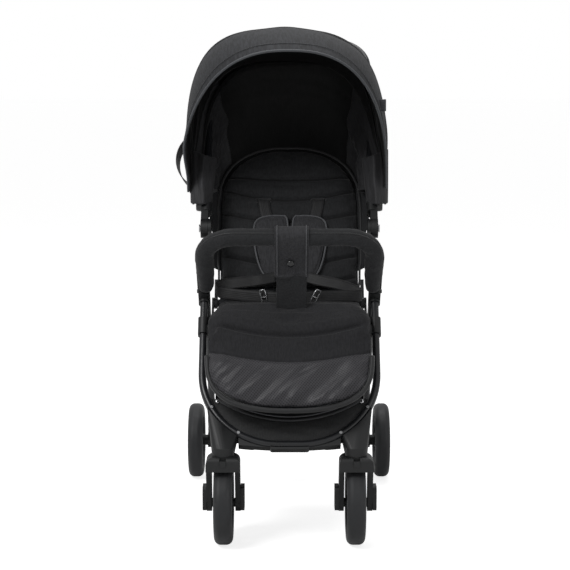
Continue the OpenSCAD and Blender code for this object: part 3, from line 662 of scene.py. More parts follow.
def on_arch(numbers, angle, start, count=HOOD_COLUMNS + 1, rise=lambda x, rho: 0.0):
    """Points along an arch of the hood at a hub angle, each of them rise(x, rho) further out."""
    return [round_hub(x, angle, rho + rise(x, rho)) for x, rho, _ in arch_line(numbers, count, start)]


def visor_numbers(angle):
    """The visor's arch: squarer at its rear edge, rounder, wider and pulled to one side at its rim."""
    f = min(max((angle - 91) / 31, 0.0), 1.0)
    return (213.5 + 1.9 * f, 350.9 + 8.9 * f, 3.35 - 0.89 * f,
            lambda r: (0.3 - 13.6 * r) * (1 - f) + (-14.8 + 12.8 * r) * f, 207.5)


def visor_crown(x):
    """How far the visor's rear edge stands off its arch at x: peaked in the middle, flat at the shoulders."""
    return 5.3 * bump(x + 9, 38) - 4.5 * bump(x - 104, 36) - 2.5 * bump(x + 145, 34) + 2.5 * bump(x - 172, 22)


def mid_numbers(angle):
    """The middle panel's arch, the same at every angle."""
    return 201.0, 347.3, 2.95, lambda r: -5 - 11 * r, 205.6


def rear_numbers(angle):
    """The rear panel's arch, the same at every angle: lowest and narrowest."""
    return 193.5, 343.2, 3.1, lambda r: -5 - 14 * max(0.0, r - 0.24), 203.6


def panel(name, body, node, first, last, numbers, start, rows=16, sag=2.0, pleats=1.4, crown=0.0):
    """One cloth panel of the hood between two hub angles: slack between its hoops and pleated at the hubs."""
    lines = [arch_line(numbers(first + (last - first) * j / rows), HOOD_COLUMNS + 1, start)
             for j in range(rows + 1)]

    def place(u, v):
        x, rho, _ = lines[round(v * rows)][round(u * HOOD_COLUMNS)]
        angle = first + (last - first) * v
        slack = sag * sin(pi * v) * sin(pi * u)
        side = abs(x) / 205
        pleat = step(rho, 260, 70) * step(side, 0.8, 0.95)
        fold = sin(angle * 1.15 + 2.2 * ripple(rho / 60, angle / 9, 1.0 if x > 0 else 5.0))
        soft = ripple(x / 70, rho / 70, angle / 12)
        inward = pleat * pleats * (1 + fold) + 0.8 * soft * sin(pi * v)
        rise = crown * visor_crown(x) * (1 - v) * step(rho, 60, 160)
        return round_hub(x - copysign(inward, x), angle, rho - slack + rise)

    length = radians(abs(last - first)) * 330
    return put(name, grid(HOOD_COLUMNS, rows, place, (900, length)), CANVAS, body,
               thick=1.4, away=(0, HOOD_HUB[0], HOOD_HUB[1] + 60), lining=LINING, replaces=(node,), levels=1)


visor = panel("hood_visor_cloth", "hood_front", "hood_visor", VISOR_REAR, VISOR_RIM, visor_numbers, start=16,
              crown=1.0)
mid_panel = panel("hood_middle_cloth", "hood_middle", "hood_mid_panel", MIDDLE_REAR, MIDDLE_FRONT,
                  mid_numbers, start=40, rows=10, sag=0.4, pleats=0.4)
rear_panel = panel("hood_rear_cloth", "handle", "hood_rear_panel", REAR_REAR, REAR_FRONT, rear_numbers,
                   start=66, rows=12, pleats=0.5)

put("hood_rim_binding", round_cord(on_arch(visor_numbers(VISOR_RIM), VISOR_RIM, 16), 2.6),
    satin_piping("rim_binding", "#3a3c40", "#53565a"), "hood_front",
    replaces=("hood_front_hoop",))
for name, angle, start, raised, crown in (
        ("hood_rim_topstitch", VISOR_RIM - 5, 60, 0.4, 0.0),
        ("hood_visor_topstitch", VISOR_REAR + 2, 40, 0.3, 0.93)):
    seam = on_arch(visor_numbers(angle), angle, start,
                   rise=lambda x, rho: raised + crown * visor_crown(x) * step(rho, 60, 160))
    put(name, round_cord(seam, 0.7), DARK_PIPING, "hood_front")


def hoop_sleeve(name, body, numbers, angle, inset, start, node=None):
    """Lining sleeve, flat like the spring hoop inside it, sewn under a panel's edge."""
    width, radius, square, centre, root = numbers
    path = on_arch((width - inset, radius - inset, square, centre, root - inset), angle, start)
    along_hood = Vector((0, -sin(radians(angle)), cos(radians(angle))))

    def ring(i):
        return along_hood, heading(path, i).normalized().cross(along_hood).normalized()

    put(name, swept(path, ring, 14, lambda s, a: (6.5 * cos(a), 1.2 * sin(a))), LINING, body,
        replaces=(node,) if node else ())


hoop_sleeve("hood_middle_sleeve", "hood_middle", mid_numbers(90), angle=90.8, inset=2.9, start=30,
            node="hood_mid_hoop")
hoop_sleeve("hood_rim_sleeve", "hood_front", visor_numbers(120.5), angle=120.3, inset=4.0, start=16)


def rear_curtain():
    """The hood's dark rear curtain: from the rear hoop down behind the backrest, bellied out backwards."""
    columns = 72
    top = arch_line((192.0, 341.6, 3.1, rear_numbers(55)[3], 202.0), columns + 1, 34)

    def place(u, v):
        x, rho, _ = top[round(u * columns)]
        across = sin(pi * u)
        start = round_hub(x, 57.0, rho)
        end = BACK_PLANE @ Vector((-148 * cos(pi * u), 232 + 58 * across, -30 - 6 * across)) / MM
        belly = sin(pi * v) ** 0.8 * across ** 0.7
        folds = ripple(x / 28, v * 2.0, 7.0) * 3.0 * sin(pi * v)
        tuck = 3.5 * (bump(v - 0.16, 0.02) + bump(v - 0.30, 0.02)) * across
        return start.lerp(end, v) + Vector((0, 1, 0.25)) * (48 * belly + folds - tuck)

    return put("hood_rear_curtain", grid(columns, 26, place, (800, 330)), LINING, "handle",
               thick=1.0, away=(0, 60, 760), levels=1)


curtain = rear_curtain()
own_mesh(curtain)

CLIP_PROFILE = [(163.5, 9.0), (163.5, 12.6), (165.0, 14.0), (176.0, 14.8), (190.0, 14.2), (194.5, 13.0),
                (196.0, 11.5), (196.0, 4.0)]
CAP_PROFILE = [(205.5, 14.5), (208.5, 14.5), (210.5, 12.5), (211.2, 7.0), (211.2, 0.02)]


def hub_trim(name, s, profile, centre, body):
    """A glossy round part at the hood's hub on the side s."""
    bm = close_ends(turned(profile, centre, 48))
    if s < 0:
        bmesh.ops.scale(bm, vec=(-1, 1, 1), verts=bm.verts)
    put(f"{name}_{SIDES[s]}", bm, GLOSS, body)


for s in SIDES:
    hub_trim("hood_clip", s, CLIP_PROFILE, (0, HOOD_HUB[0] - 8, HOOD_HUB[1] - 14), "handle")
    hub_trim("hood_hub_cap", s, CAP_PROFILE, (-5, *HOOD_HUB), "hood_front")

# A bare folded tag, sewn into the seam at the hood's right-hand side.
TAG_HEIGHT = 857
TAG_FOLD = ((-5, 2, 0), (2, 1, 0), (9, 0, 0.5), (11.5, 0.5, 0), (9, 1.8, -0.5), (2, 3, 0), (-5, 3.4, 0))
tag_line = on_arch(visor_numbers(VISOR_RIM - 9), VISOR_RIM - 9, 60, 241)
tag_foot = min((p for p in tag_line if p.x > 0), key=lambda p: abs(p.z - TAG_HEIGHT))
tag = ribbon([tag_foot + Vector(offset) for offset in TAG_FOLD], lambda t: Vector((0, 0.1, 1)), 24, 4)
put("hood_side_tag", tag, polyester_webbing("tag_webbing", "#26272a", "#4a4b4f"), "hood_front",
    thick=0.8, away=tag_foot + Vector((0, 40, 0)))


def return_hem(name, body, outer, inner, angle, start, reach):
    """Lining hem turned in from a panel's rear edge towards the next, smaller panel, so that no gap shows."""
    edges = [arch_line(numbers(angle), HOOD_COLUMNS + 1, start) for numbers in (outer, inner)]

    def place(u, v):
        i = round(u * HOOD_COLUMNS)
        (x0, r0, _), (x1, r1, _) = (edge[i] for edge in edges)
        f = reach * v
        swung = angle + HEM_SWING * v + 0.5 * sin(i * 0.7) * v
        return round_hub(x0 + (x1 - x0) * f, swung, r0 + (r1 - r0) * f)

    return put(name, grid(HOOD_COLUMNS, 4, place, (900, 15)), LINING, body, thick=0.8,
               away=(0, HOOD_HUB[0] - 200, HOOD_HUB[1] + 60))


visor_hem = return_hem("hood_visor_hem", "hood_front", visor_numbers, mid_numbers, angle=VISOR_REAR + 1,
                       start=30, reach=1.12)
mid_hem = return_hem("hood_middle_hem", "hood_middle", mid_numbers, rear_numbers, angle=MIDDLE_REAR + 1,
                     start=48, reach=1.15)


def side_flap(s):
    """Inner side flap of the hood: gathered cloth from the rear hoop's side to the backrest's bound edge."""
    edge = arch_line((191.6, 340.5, 3.1, rear_numbers(55)[3], 201.5), 401, 20)
    half_line = sorted((p for p in edge if p.x * s > 0), key=lambda p: p.y)

    def place(u, v):
        x, rho, _ = half_line[int((len(half_line) - 1) * (0.02 + 0.60 * v))]
        outer = round_hub(x, 57 + 19 * (1 - v) ** 2, rho)
        inner = BACK_PLANE @ Vector((s * (151 - 26 * v ** 3), 246 + 84 * v, 4)) / MM
        slack = sin(pi * u)
        gather = sin(u * 11 + 2.4 * ripple(v * 3, u * 2, s))
        crease = ripple(u * 5, v * 9, s * 3)
        fold = 5.0 * gather + 4.0 * crease - 5
        return outer.lerp(inner, u) + Vector((s * 3 * slack, -1, 0.1)) * fold * slack * (1 - 0.75 * v)

    return put(f"hood_side_flap_{SIDES[s]}", grid(26, 44, place, (90, 260)), FLAP_CLOTH, "handle",
               thick=1.0, away=(0, 400, 760), levels=1)


def hood_corner(s):
    """The hood's lower front corner: gathered cloth that wraps the hub from the side wall to the inside."""
    def place(u, v):
        x = s * (208 + 3 * v - (46 + 12 * v) * u)
        y = 14 - 24 * sin(pi * u) ** 0.8 + 52 * v ** 1.3
        z = 650 + (112 - 20 * u) * v
        fold = sin(u * 13 + 1.6 * ripple(v * 2.2, u, 3 + s))
        return Vector((x, y - (2.2 + 2.2 * v) * fold * sin(pi * u), z))

    return put(f"hood_corner_{SIDES[s]}", grid(26, 24, place, (60, 110)), FLAP_CLOTH, "handle",
               thick=1.2, away=(0, 300, 700), levels=1)


for s in SIDES:
    corner = hood_corner(s)
    flap = side_flap(s)
    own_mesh(flap)


# ---------- padding ----------

FILLING_PRESSURE, FILLING_FRAMES = 4.0, 20


def evaluated(form):
    """The form's mesh with its modifiers applied."""
    return bpy.data.meshes.new_from_object(form.evaluated_get(bpy.context.evaluated_depsgraph_get()))


def filled(form, cap):
    """The form's mesh blown up as cloth by a filling, each of its points moving cap mm at most."""
    filling = form.modifiers.new("filling", "CLOTH")
    filling.settings.use_pressure = True
    filling.settings.uniform_pressure_force = FILLING_PRESSURE
    filling.settings.effector_weights.gravity = 0
    filling.point_cache.frame_end = FILLING_FRAMES
    for number in range(1, FILLING_FRAMES + 1):
        scene.frame_set(number)
    blown = evaluated(form)
    form.modifiers.clear()
    scene.frame_set(1)
    for vert, rest in zip(blown.vertices, form.data.vertices):
        move = vert.co - rest.co
        if move.length > cap * MM:
            vert.co = rest.co + move * (cap * MM / move.length)
    return blown


def stuffed(bm, cap, voxel=5.0):
    """A closed form as an even mesh, rounded off and filled like a cushion, in millimetres."""
    bmesh.ops.transform(bm, matrix=WORLD, verts=bm.verts)
    bmesh.ops.recalc_face_normals(bm, faces=bm.faces)
    mesh = bpy.data.meshes.new("form")
    bm.to_mesh(mesh)
    form = bpy.data.objects.new("form", mesh)
    scene.collection.objects.link(form)
    even = form.modifiers.new("even", "REMESH")
    even.mode = "VOXEL"
    even.voxel_size = voxel * MM
    form.data = evaluated(form)
    form.modifiers.clear()
    bm.clear()
    bm.from_mesh(form.data)
    for _ in range(3):
        bmesh.ops.smooth_vert(bm, verts=bm.verts, factor=0.5, use_axis_x=True, use_axis_y=True,
                              use_axis_z=True)
    bm.to_mesh(form.data)
    form.data = filled(form, cap)
    finer = form.modifiers.new("finer", "SUBSURF")
    finer.levels = finer.render_levels = 1
    bm.clear()
    bm.from_mesh(evaluated(form))
    bmesh.ops.transform(bm, matrix=WORLD.inverted(), verts=bm.verts)
    bpy.data.objects.remove(form)
    return bm


def rounded(c, n):
    """A superellipse's share of its half width for the cosine or sine c: a larger n is squarer."""
    return copysign(abs(c) ** (2 / n), c)


def rest_point(v, h):
    """The side-view point v along the leg rest's slope and h out of it."""
    a = radians(REST_SLOPE)
    return REST_PIVOT[0] + v * cos(a) - h * sin(a), REST_PIVOT[1] + v * sin(a) + h * cos(a)


def front_stations():
    """Stations (upper y, z, lower y, z, half width) of the cushion, along the seat and down the leg rest."""
    stations = [(-19, 440, -19, 430, 140), (-24, 447, -24, 423, 148), (-60, 449, -60, 422.5, 154),
                (-130, 452, -130, 422.5, 157), (-176, 458, -176, 422.5, 159), (-204, 463, -202, 422.5, 163),
                (-230, 457, -224, 421.5, 166), (-247, 441, -239, 418, 166)]
    for v, top, low, half in ((-12, 26, 14, 166), (-30, 24, 8, 166), (-60, 24, 4, 164), (-92, 24, 4, 160),
                              (-112, 24, 4, 153), (-128, 23, 5, 140), (-142, 22, 6, 119), (-152, 21, 7, 93),
                              (-159, 19, 8, 62), (-163, 17, 10, 30), (-164, 15, 12, 8)):
        stations.append((*rest_point(v, top), *rest_point(v, low), half))
    return stations


def quilt_front(bm):
    """Draws in the seams of the seat and the leg rest, and creases the leg rest's mesh on the bias."""
    a = radians(REST_SLOPE)
    out = Vector((0, -sin(a), cos(a)))
    for vert in bm.verts:
        x, y, z = vert.co
        dy, dz = y - REST_PIVOT[0], z - REST_PIVOT[1]
        v, h = dy * cos(a) + dz * sin(a), -dy * sin(a) + dz * cos(a)
        if h > 13 and y < -226:
            roll = v + 13 - 0.0012 * x * x
            shift = -6.5 * bump(roll, 4.8) * step(abs(x), 156, 128)
            shift += 2.2 * bump(roll - 17, 9) + 1.6 * bump(roll + 17, 9)
            seam = v + 69 - 0.00105 * x * x
            shift -= 2.2 * bump(seam, 2.6)
            below = step(seam, -3, -22)
            p, q = 0.70 * x - 0.71 * v, 0.71 * x + 0.70 * v
            crease = ripple(p / 30, q / 105, 2.3) + 0.35 * ripple(p / 13, q / 70, 8.1)
            ridge = 1 - 2 * abs(ripple(p / 46, q / 140, 5.7))
            shift += below * ((9.5 * crease + 3.0 * ridge) * step(v, -166, -140) - 2.5)
            vert.co += out * shift
        elif z > 436:
            dip = bump(x, 95) * bump(y + 110, 80)
            line = bump(y + 150 - 0.0009 * x * x, 4.5) + bump(y + 80 - 0.0009 * x * x, 4.5)
            vert.co.z += 2.0 * ripple(x / 60, y / 60, 0) - 3.5 * dip - 3.0 * line * step(abs(x), 148, 125)


def front_cushion():
    """Seat cushion and leg rest in one: rolled over the seat's front edge, with a curved lower edge."""
    stations = front_stations()
    rows = 96
    table = [smooth_at(stations, j / rows) for j in range(rows + 1)]

    def place(u, v):
        top_y, top_z, low_y, low_z, half = table[round(v * rows)]
        a = 2 * pi * u
        roll = bump(low_y + 215, 30)
        x, f = rounded(cos(a), 7 - 2.5 * roll), 0.5 + 0.5 * rounded(sin(a), 3.2 - 0.8 * roll)
        return Vector((half * x, low_y + (top_y - low_y) * f, low_z + (top_z - low_z) * f))

    bm = stuffed(close_ends(grid(64, rows, place)), cap=6.0)
    quilt_front(bm)
    start, end = rest_point(26, 20), rest_point(-34, 20)
    return put("seat_and_leg_rest_cushion", bm, FRONT_CLOTH, None,
               blends=("front_frame", "leg_rest", (0, *start), (0, *end)),
               replaces=("seat_pad", "leg_rest_pad"))


cushion = front_cushion()

# Half of the leg rest's lower edge, from its middle to its right side.
REST_EDGE = [(42, -163.5), (82, -157), (114, -146), (137, -129.5), (150, -112), (157, -92), (160, -72),
             (161, -50)]
rest_edge = [(-x, v, 15) for x, v in reversed(REST_EDGE)] + [(0, -165, 15)]
rest_edge += [(x, v, 15) for x, v in REST_EDGE]
put("leg_rest_binding", round_cord(even_path(rest_edge, 90), 5.2), EDGE_PIPING, "leg_rest", REST_PLANE)


# The backrest's outline as half widths up its slope, and the curved lines of its sewn channels.
BACK_ROWS = [(26, 144), (40, 147), (70, 148), (90, 151), (140, 152), (205, 152), (245, 149.5), (272, 144),
             (295, 134), (315, 120), (332, 101), (345, 78), (354, 50), (358, 20)]
BACK_TOP = BACK_ROWS[-1][0]
CHANNELS = [(29, 0.0012), (77, 0.0012), (127, 0.0012), (178, 0.00106), (229, 0.0013), (277, 0.00062)]


def sewn_channels(mat):
    """Darkens the cloth along the backrest's seams, where it is pulled in and little light reaches."""
    tree = mat.node_tree
    shader = next(n for n in tree.nodes if n.type == "BSDF_PRINCIPLED")
    where = next(n for n in tree.nodes if n.type == "TEX_COORD")
    x, y = add(tree, "SeparateXYZ", links={0: on_plane(tree, where, BACK_PIVOT, BACK_SLOPE)}).outputs[:2]
    square = add(tree, "Math", {"operation": "MULTIPLY"}, {0: x, 1: x})
    shade = None
    for v0, bow in CHANNELS:
        curve = add(tree, "Math", {"operation": "MULTIPLY_ADD", 1: -bow / MM}, {0: square, 2: y})
        away = add(tree, "Math", {"operation": "SUBTRACT", 1: v0 * MM}, {0: curve})
        away = add(tree, "Math", {"operation": "ABSOLUTE"}, {0: away})
        line = add(tree, "MapRange", {"From Min": 0.0005, "From Max": 0.0026, "To Min": 0.15, "To Max": 1.0},
                   {"Value": away})
        shade = add(tree, "Math", {"operation": "MINIMUM"}, {0: line, 1: shade or line})
    base = shader.inputs["Base Color"].links[0].from_socket
    tone = add(tree, "Mix", {"data_type": "RGBA", "blend_type": "MULTIPLY", 0: 1.0}, {6: base, 7: shade})
    join(tree, shader, {"Base Color": tone.outputs[2]})
    return mat


SEWN_CLOTH = sewn_channels(seat_polyester("backrest_channel_polyester", BACK_PIVOT, BACK_SLOPE))


def back_half(v):
    """Half the backrest's width at v up its slope."""
    for (v0, w0), (v1, w1) in zip(BACK_ROWS, BACK_ROWS[1:]):
        if v <= v1:
            return w0 + (w1 - w0) * max(0.0, (v - v0) / (v1 - v0))
    return BACK_ROWS[-1][1]


def backrest_cushion():
    """Backrest pad: filled channels between curved seams, thinner towards its bound edge."""
    rows = 84

    def place(u, v):
        up, half = smooth_at(BACK_ROWS, v)
        a = 2 * pi * u
        end = min(1.0, 0.35 + 14 * min(v, 1 - v))
        return Vector((half * rounded(cos(a), 9), up, 12.5 + 9.5 * end * rounded(sin(a), 3)))

    bm = stuffed(close_ends(grid(64, rows, place)), cap=6.0)
    for vert in bm.verts:
        x, v, h = vert.co
        if h > 12:
            inside = step(min(back_half(v) - abs(x), BACK_TOP - v), 4, 16)
            shift = 0.0
            for v0, bow in CHANNELS:
                away = v - v0 - bow * x * x
                pucker = 0.6 * ripple(x / 7, v0, 0)
                shift -= (6.4 + pucker) * bump(away, 4.4)
                shift += 2.4 * bump(away - 20, 13) * (1 if v0 > 30 else 0)
            shift += 2.2 * ripple(x / 36, v / 16, 4.0)
            vert.co.z += shift * inside
    return put("backrest_cushion", bm, SEWN_CLOTH, "backrest", BACK_PLANE,
               replaces=("backrest_pad",))


back_cushion = backrest_cushion()
back_edge = [(-w - 1, v, 19) for v, w in BACK_ROWS] + [(w + 1, v, 19) for v, w in reversed(BACK_ROWS)]
put("backrest_piping", round_cord(even_path(back_edge, 200), 2.3), EDGE_PIPING, "backrest", BACK_PLANE)


def back_wing(s):
    """Side wing of the backrest: a strip of cloth from under the pad, standing up to the frame's side."""
    def place(u, v):
        up = 70 + 196 * v
        reach = 17 + 8 * step(up, 135, 175) - 12 * step(up, 225, 262)
        rise = (6 + 24 * sin(pi * min(1.0, 0.12 + 0.88 * v)) ** 0.5) * u ** 1.3
        return Vector((s * (143.5 + reach * u + 1.2 * ripple(v * 6, u, s)), up, 9 + rise))

    return put(f"backrest_wing_{SIDES[s]}", grid(10, 44, place, (40, 196)), BACK_CLOTH, "backrest",
               BACK_PLANE, thick=2.2, levels=1)


for s in SIDES:
    wing = back_wing(s)


# ---------- harness ----------

def pad_outline(s):
    """Outline of one shoulder pad, on the side s: narrow and rounded at its lower end."""
    rows = [(5, 41), (20, 37), (37, 37), (50, 44), (62, 63), (71, 93), (76, 127), (77, 160), (70, 178),
            (50, 186), (22, 187), (7, 180), (5, 120), (5, 70), (5, 41)]
    return [(s * x + 2, v) for x, v in rows]


def shoulder_pad(s):
    """Shoulder pad: a filled sleeve with a stitched edge and piping around it."""
    ring = even_path([(x, v, 0) for x, v in pad_outline(s)], 60)[:-1]
    pad = stuffed(outline_block([(p.x, p.y) for p in ring], 31.0, 38.0, 2.5), voxel=3.0, cap=3.0)
    for vert in pad.verts:
        near = min((Vector((vert.co.x, vert.co.y, 0)) - p).length for p in ring)
        if vert.co.z > 34:
            vert.co.z -= 1.5 * bump(near - 7, 1.8)
    pad = put(f"shoulder_pad_{SIDES[s]}", pad, PAD_CLOTH, "backrest", BACK_PLANE,
              replaces=("shoulder_pads",))
    loop = [Vector((p.x, p.y, 35.5)) for p in ring]
    put(f"shoulder_pad_piping_{SIDES[s]}", round_cord(loop, 1.9, closed=True), LIGHT_PIPING, "backrest",
        BACK_PLANE)


def shoulder_strap(s):
    """Shoulder strap: webbing out of a bound slot in the backrest, down under its pad."""
    at = STRAP_X + s * 59.5
    rows = [(at, 236, 16), (at, 233, 24), (at - s * 1, 226, 31), (at - s * 3, 208, 33),
            (at - s * 8, 186, 33.5), (at - s * 12, 168, 33)]
    strap = ribbon(even_path(rows, 24), lambda t: Vector((1, 0.1 * s, 0)), 25)
    put(f"shoulder_strap_{SIDES[s]}", strap, WEBBING, "backrest", BACK_PLANE, thick=1.6,
        replaces=("shoulder_straps",), away=(at, 200, 0))
    slot_ring = [(-15, 231), (0, 232.5), (15, 231), (15.5, 227), (15, 223), (0, 222), (-15, 223),
                 (-15.5, 227), (-15, 231)]
    ring = even_path([(at + x, v, 26.5) for x, v in slot_ring], 40)[:-1]
    put(f"strap_slot_binding_{SIDES[s]}", round_cord(ring, 1.8, closed=True), EDGE_PIPING, "backrest",
        BACK_PLANE)


for s in SIDES:
    shoulder_pad(s)
    shoulder_strap(s)


def side_view(rows, x):
    """Points at x from side-view (y, z) rows."""
    return [(x, y, z) for y, z in rows]


def slider(name, centre, across, along, wide, tall, body):
    """A flat metal slider: a rounded frame with a middle bar, lying in the plane of across and along."""
    across, along = Vector(across).normalized(), Vector(along).normalized()
    centre, w, t = Vector(centre), wide / 2, tall / 2
    ring = [(-w, -t * 0.6), (-w, t * 0.6), (-w * 0.8, t), (w * 0.8, t), (w, t * 0.6), (w, -t * 0.6),
            (w * 0.8, -t), (-w * 0.8, -t)]
    line = [centre + across * a + along * b for a, b in ring]
    put(name, round_cord(line, 1.6, closed=True), STEEL, body)
    put(f"{name}_bar", round_cord([centre - across * w, centre + across * w], 1.4), STEEL, body)


# Lap belts: each comes out from under its pad, runs out over the seat and folds back through its slider.
BELTS = {
    "left": [(-30, -14, 497), (-62, -26, 492), (-100, -33, 488), (-134, -38, 485), (-150, -43, 481),
             (-152, -49, 476), (-142, -55, 470), (-112, -62, 466), (-80, -72, 464), (-50, -82, 463),
             (-22, -92, 463)],
    "right": [(36, -14, 497), (64, -26, 491), (98, -32, 485), (128, -36, 476), (146, -42, 468),
              (151, -50, 465), (142, -58, 463), (112, -64, 463), (84, -70, 463), (56, -80, 463),
              (28, -92, 463)],
}
BELT_START, BELT_END = Vector((0, 0.5, 0.86)), Vector((0, 0.25, 0.97))
for side, rows in BELTS.items():
    strap = ribbon(even_path(rows, 70), lambda t: BELT_START.lerp(BELT_END, step(t, 0.4, 0.6)), 25)
    for vert in strap.verts:
        vert.co.y += 1.6 * ripple(*vert.co / 24)
    put(f"lap_belt_{side}", strap, WEBBING, "front_frame", thick=1.5, away=(0, 60, 470))
slider("lap_slider_left", (-53, -84.5, 463.5), (1, -0.3, 0.2), (-0.2, 0, 1), 11, 31, "front_frame")
slider("lap_slider_right", (53, -84.5, 463.5), (1, 0.3, -0.5), (0.5, 0, 1), 11, 33, "front_frame")


# ---------- bumper ----------

def bumper_line():
    """The bumper's centre line in its own plane, from the left arm's foot to the right arm's foot."""
    x, bend, top = BUMPER_X, BUMPER_BEND, BUMPER_LEN
    rows = [(-x, 33 + (top - bend - 33) * k / 6) for k in range(6)]
    rows += [(-x + bend - bend * cos(a), top - bend + bend * sin(a))
             for a in (pi / 2 * k / 8 for k in range(9))]
    rows += [(-x + bend + (x - bend) * 2 * k / 8, top) for k in range(1, 4)]
    rows += [(0, top)] + [(-p, q) for p, q in reversed(rows)]
    return even_path([(p, q, 0) for p, q in rows], 150)


BUMPER_PATH = bumper_line()


def around_bumper(i):
    """The two directions across the bumper's line at its point i."""
    up = Vector((0, 0, 1))
    return heading(BUMPER_PATH, i).normalized().cross(up).normalized(), up


def bumper_cover():
    """Soft sleeve over foam: small wrinkles, closer at the bends, rounded over at its ends."""
    def radii(s, a):
        x, y, _ = BUMPER_PATH[round(s * (len(BUMPER_PATH) - 1))]
        corner = bump(abs(abs(x) - 150) + abs(y - 172), 34)
        fold = ripple(x / 11, y / 9, 1.4 * cos(a))
        slow = ripple(x / 38, y / 38, sin(a))
        seam = 1.1 * bump(sin((a - 2.9) / 2), 0.05)
        full = COVER_R + 2.2 * bump(y - 120, 42) * step(abs(x), 60, 140) - 1.6 * step(y, 75, 35)
        diagonal = ripple((x + 22 * cos(a)) / 9, (y - 22 * cos(a)) / 12, 4.0)
        r = full + 0.8 * slow + (0.5 + 1.4 * corner) * fold + (0.9 + 0.9 * corner) * diagonal - seam
        r *= 0.90 + 0.10 * step(min(s, 1 - s), 0, 0.012)
        return r * cos(a), r * sin(a)

    return put("bumper_sleeve", swept(BUMPER_PATH, around_bumper, 40, radii), COVER_CLOTH, "bumper",
               BUMPER_PLANE, replaces=("bumper_cover",))


sleeve = bumper_cover()
seam_line = [p + around_bumper(i)[0] * COVER_R * -0.95 + Vector((0, 0, COVER_R * 0.235))
             for i, p in enumerate(BUMPER_PATH)]
put("bumper_zip_line", round_cord(seam_line, 1.3), EDGE_PIPING, "bumper", BUMPER_PLANE)

# The crotch strap's flap hangs from the bar down to this height; below it the strap runs on alone.
FLAP_FOOT = 524.0
STRAP_POINTS = 110


def crotch_strap():
    """Wide strap: looped over the bumper bar and closed with a snap, its front running down to the seat."""
    front = [(-204, 446), (-212, 480), (-224, 520), (-243, 560), (-262, 590), (-267.5, 603), (-266, 615)]
    over = [(-258, 622.5), (-249, 625), (-239, 622), (-231.5, 613), (-229.5, 603), (-232, 590), (-238, 578),
            (-243.5, 566)]
    path = even_path(side_view(front + over, STRAP_X), STRAP_POINTS)

    def place(u, v):
        i = round(v * (STRAP_POINTS - 1))
        normal = Vector((1, 0, 0)).cross(heading(path, i)).normalized()
        over_flap = step(path[i].z, FLAP_FOOT - 3, FLAP_FOOT + 2)
        half = 29.8 + 3.7 * over_flap + 0.8 * ripple(v * 9, 0, u > 0.5)
        x = half * (2 * u - 1)
        wave = 1.6 * ripple(x / 30, v * 5, 3) * step(v, 0.02, 0.15)
        stitch = bump(abs(x) - 29, 1.2)
        middle = 1.6 * (1 - (x / 34) ** 2) * bump(v - 0.28, 0.2)
        crease = 2.4 * bump(v - 0.30 - 0.02 * sin(x / 9), 0.012)
        raised = wave + middle + 1.5 * over_flap - 1.5 - 0.9 * stitch - crease
        return path[i] + Vector((x, 0, 0)) - normal * raised

    return put("crotch_strap", grid(40, STRAP_POINTS - 1, place, (66, 360)), STRAP_CLOTH, "bumper",
               thick=2.6, away=(0, -235, 560), replaces=("bumper_strap",))


strap_piece = crotch_strap()
# Below the flap's foot the strap gets the darker bumper cloth: painted shade where it tucks under the flap.
strap_piece.data.materials.append(COVER_CLOTH)
for face in strap_piece.data.polygons:
    if face.center.z < FLAP_FOOT * MM:
        face.material_index = 1
stitch_path = even_path(side_view([(-227.5, 524), (-244.5, 560), (-263.5, 590), (-269.2, 603), (-267.5, 616),
                                   (-258, 624.5), (-249, 626.8)], STRAP_X), 60)
for s, side in SIDES.items():
    line = [p + Vector((s * 28.5, 0, 0)) for p in stitch_path]
    put(f"crotch_strap_stitch_{side}", round_cord(line, 0.8), LIGHT_PIPING, "bumper")
snap = close_ends(turned([(0, 7.4), (1.6, 7.2), (3.0, 5.8), (3.6, 3.0), (3.6, 0.02)], (0, 0, 0), 32))
snap_place = Matrix.Translation((STRAP_X - 2, -243.0, 551.0)) @ turn(22, "X") @ turn(-90, "Z")
bmesh.ops.transform(snap, matrix=snap_place, verts=snap.verts)
put("strap_snap", snap, GLOSS, "bumper")


# ---------- foot panel, basket and webbing ----------

def foot_low(x):
    """The inner edge of the U tube's bend at x, up the frame's slope."""
    inner = FRONT_BEND - TUBE_W / 2
    away = max(0.0, abs(x) - (SIDE_X - FRONT_BEND))
    return FRONT_BEND - sqrt(max(0.0, inner * inner - away * away))


def foot_top(x, drop=0.0):
    """The panel's hollowed upper edge at x, or a line drop mm below it, up the frame's slope."""
    return 302 - sqrt((252 + drop) ** 2 - x * x)


def foot_panel_place(u, v):
    """A point of the cloth between the tube's bend and the panel's upper edge."""
    x = 151 * sin((u - 0.5) * pi * 0.98)
    low, high = foot_low(x) - 2, foot_top(x)
    s = low + (max(high, low + 1) - low) * v
    belly = sin(pi * v) * cos((u - 0.5) * pi)
    return Vector((x, s, 2.0 + 3.0 * belly + 1.4 * ripple(x / 45, s / 14, 0)))


foot_cloth = put("foot_panel_cloth", grid(80, 14, foot_panel_place, (330, 60)), OXFORD, "front_frame",
                 FRAME_PLANE, thick=1.4, away=(0, -200, 300), replaces=("foot_panel",))
for name, reach, drop, out, radius, finish in (
        ("foot_panel_binding", 144, 0, 4.2, 2.2, DARK_PIPING),
        ("foot_panel_piping", 138, -7, 6.4, 1.3, LIGHT_PIPING)):
    hem = [(x, foot_top(x, drop) + 0.5, out) for x in range(-reach, reach + 1, 12)]
    put(name, round_cord(even_path(hem, 90), radius), finish, "front_frame", FRAME_PLANE)
for s, side in SIDES.items():
    rivet = close_ends(turned([(0, 4.4), (1.2, 4.2), (2.4, 2.6), (2.8, 0.02)], (0, 0, 0), 24))
    rivet_place = Matrix.Translation((s * 143, 91, 5)) @ turn(-90, "Y")
    bmesh.ops.transform(rivet, matrix=rivet_place, verts=rivet.verts)
    put(f"foot_panel_rivet_{side}", rivet, STEEL, "front_frame", FRAME_PLANE)


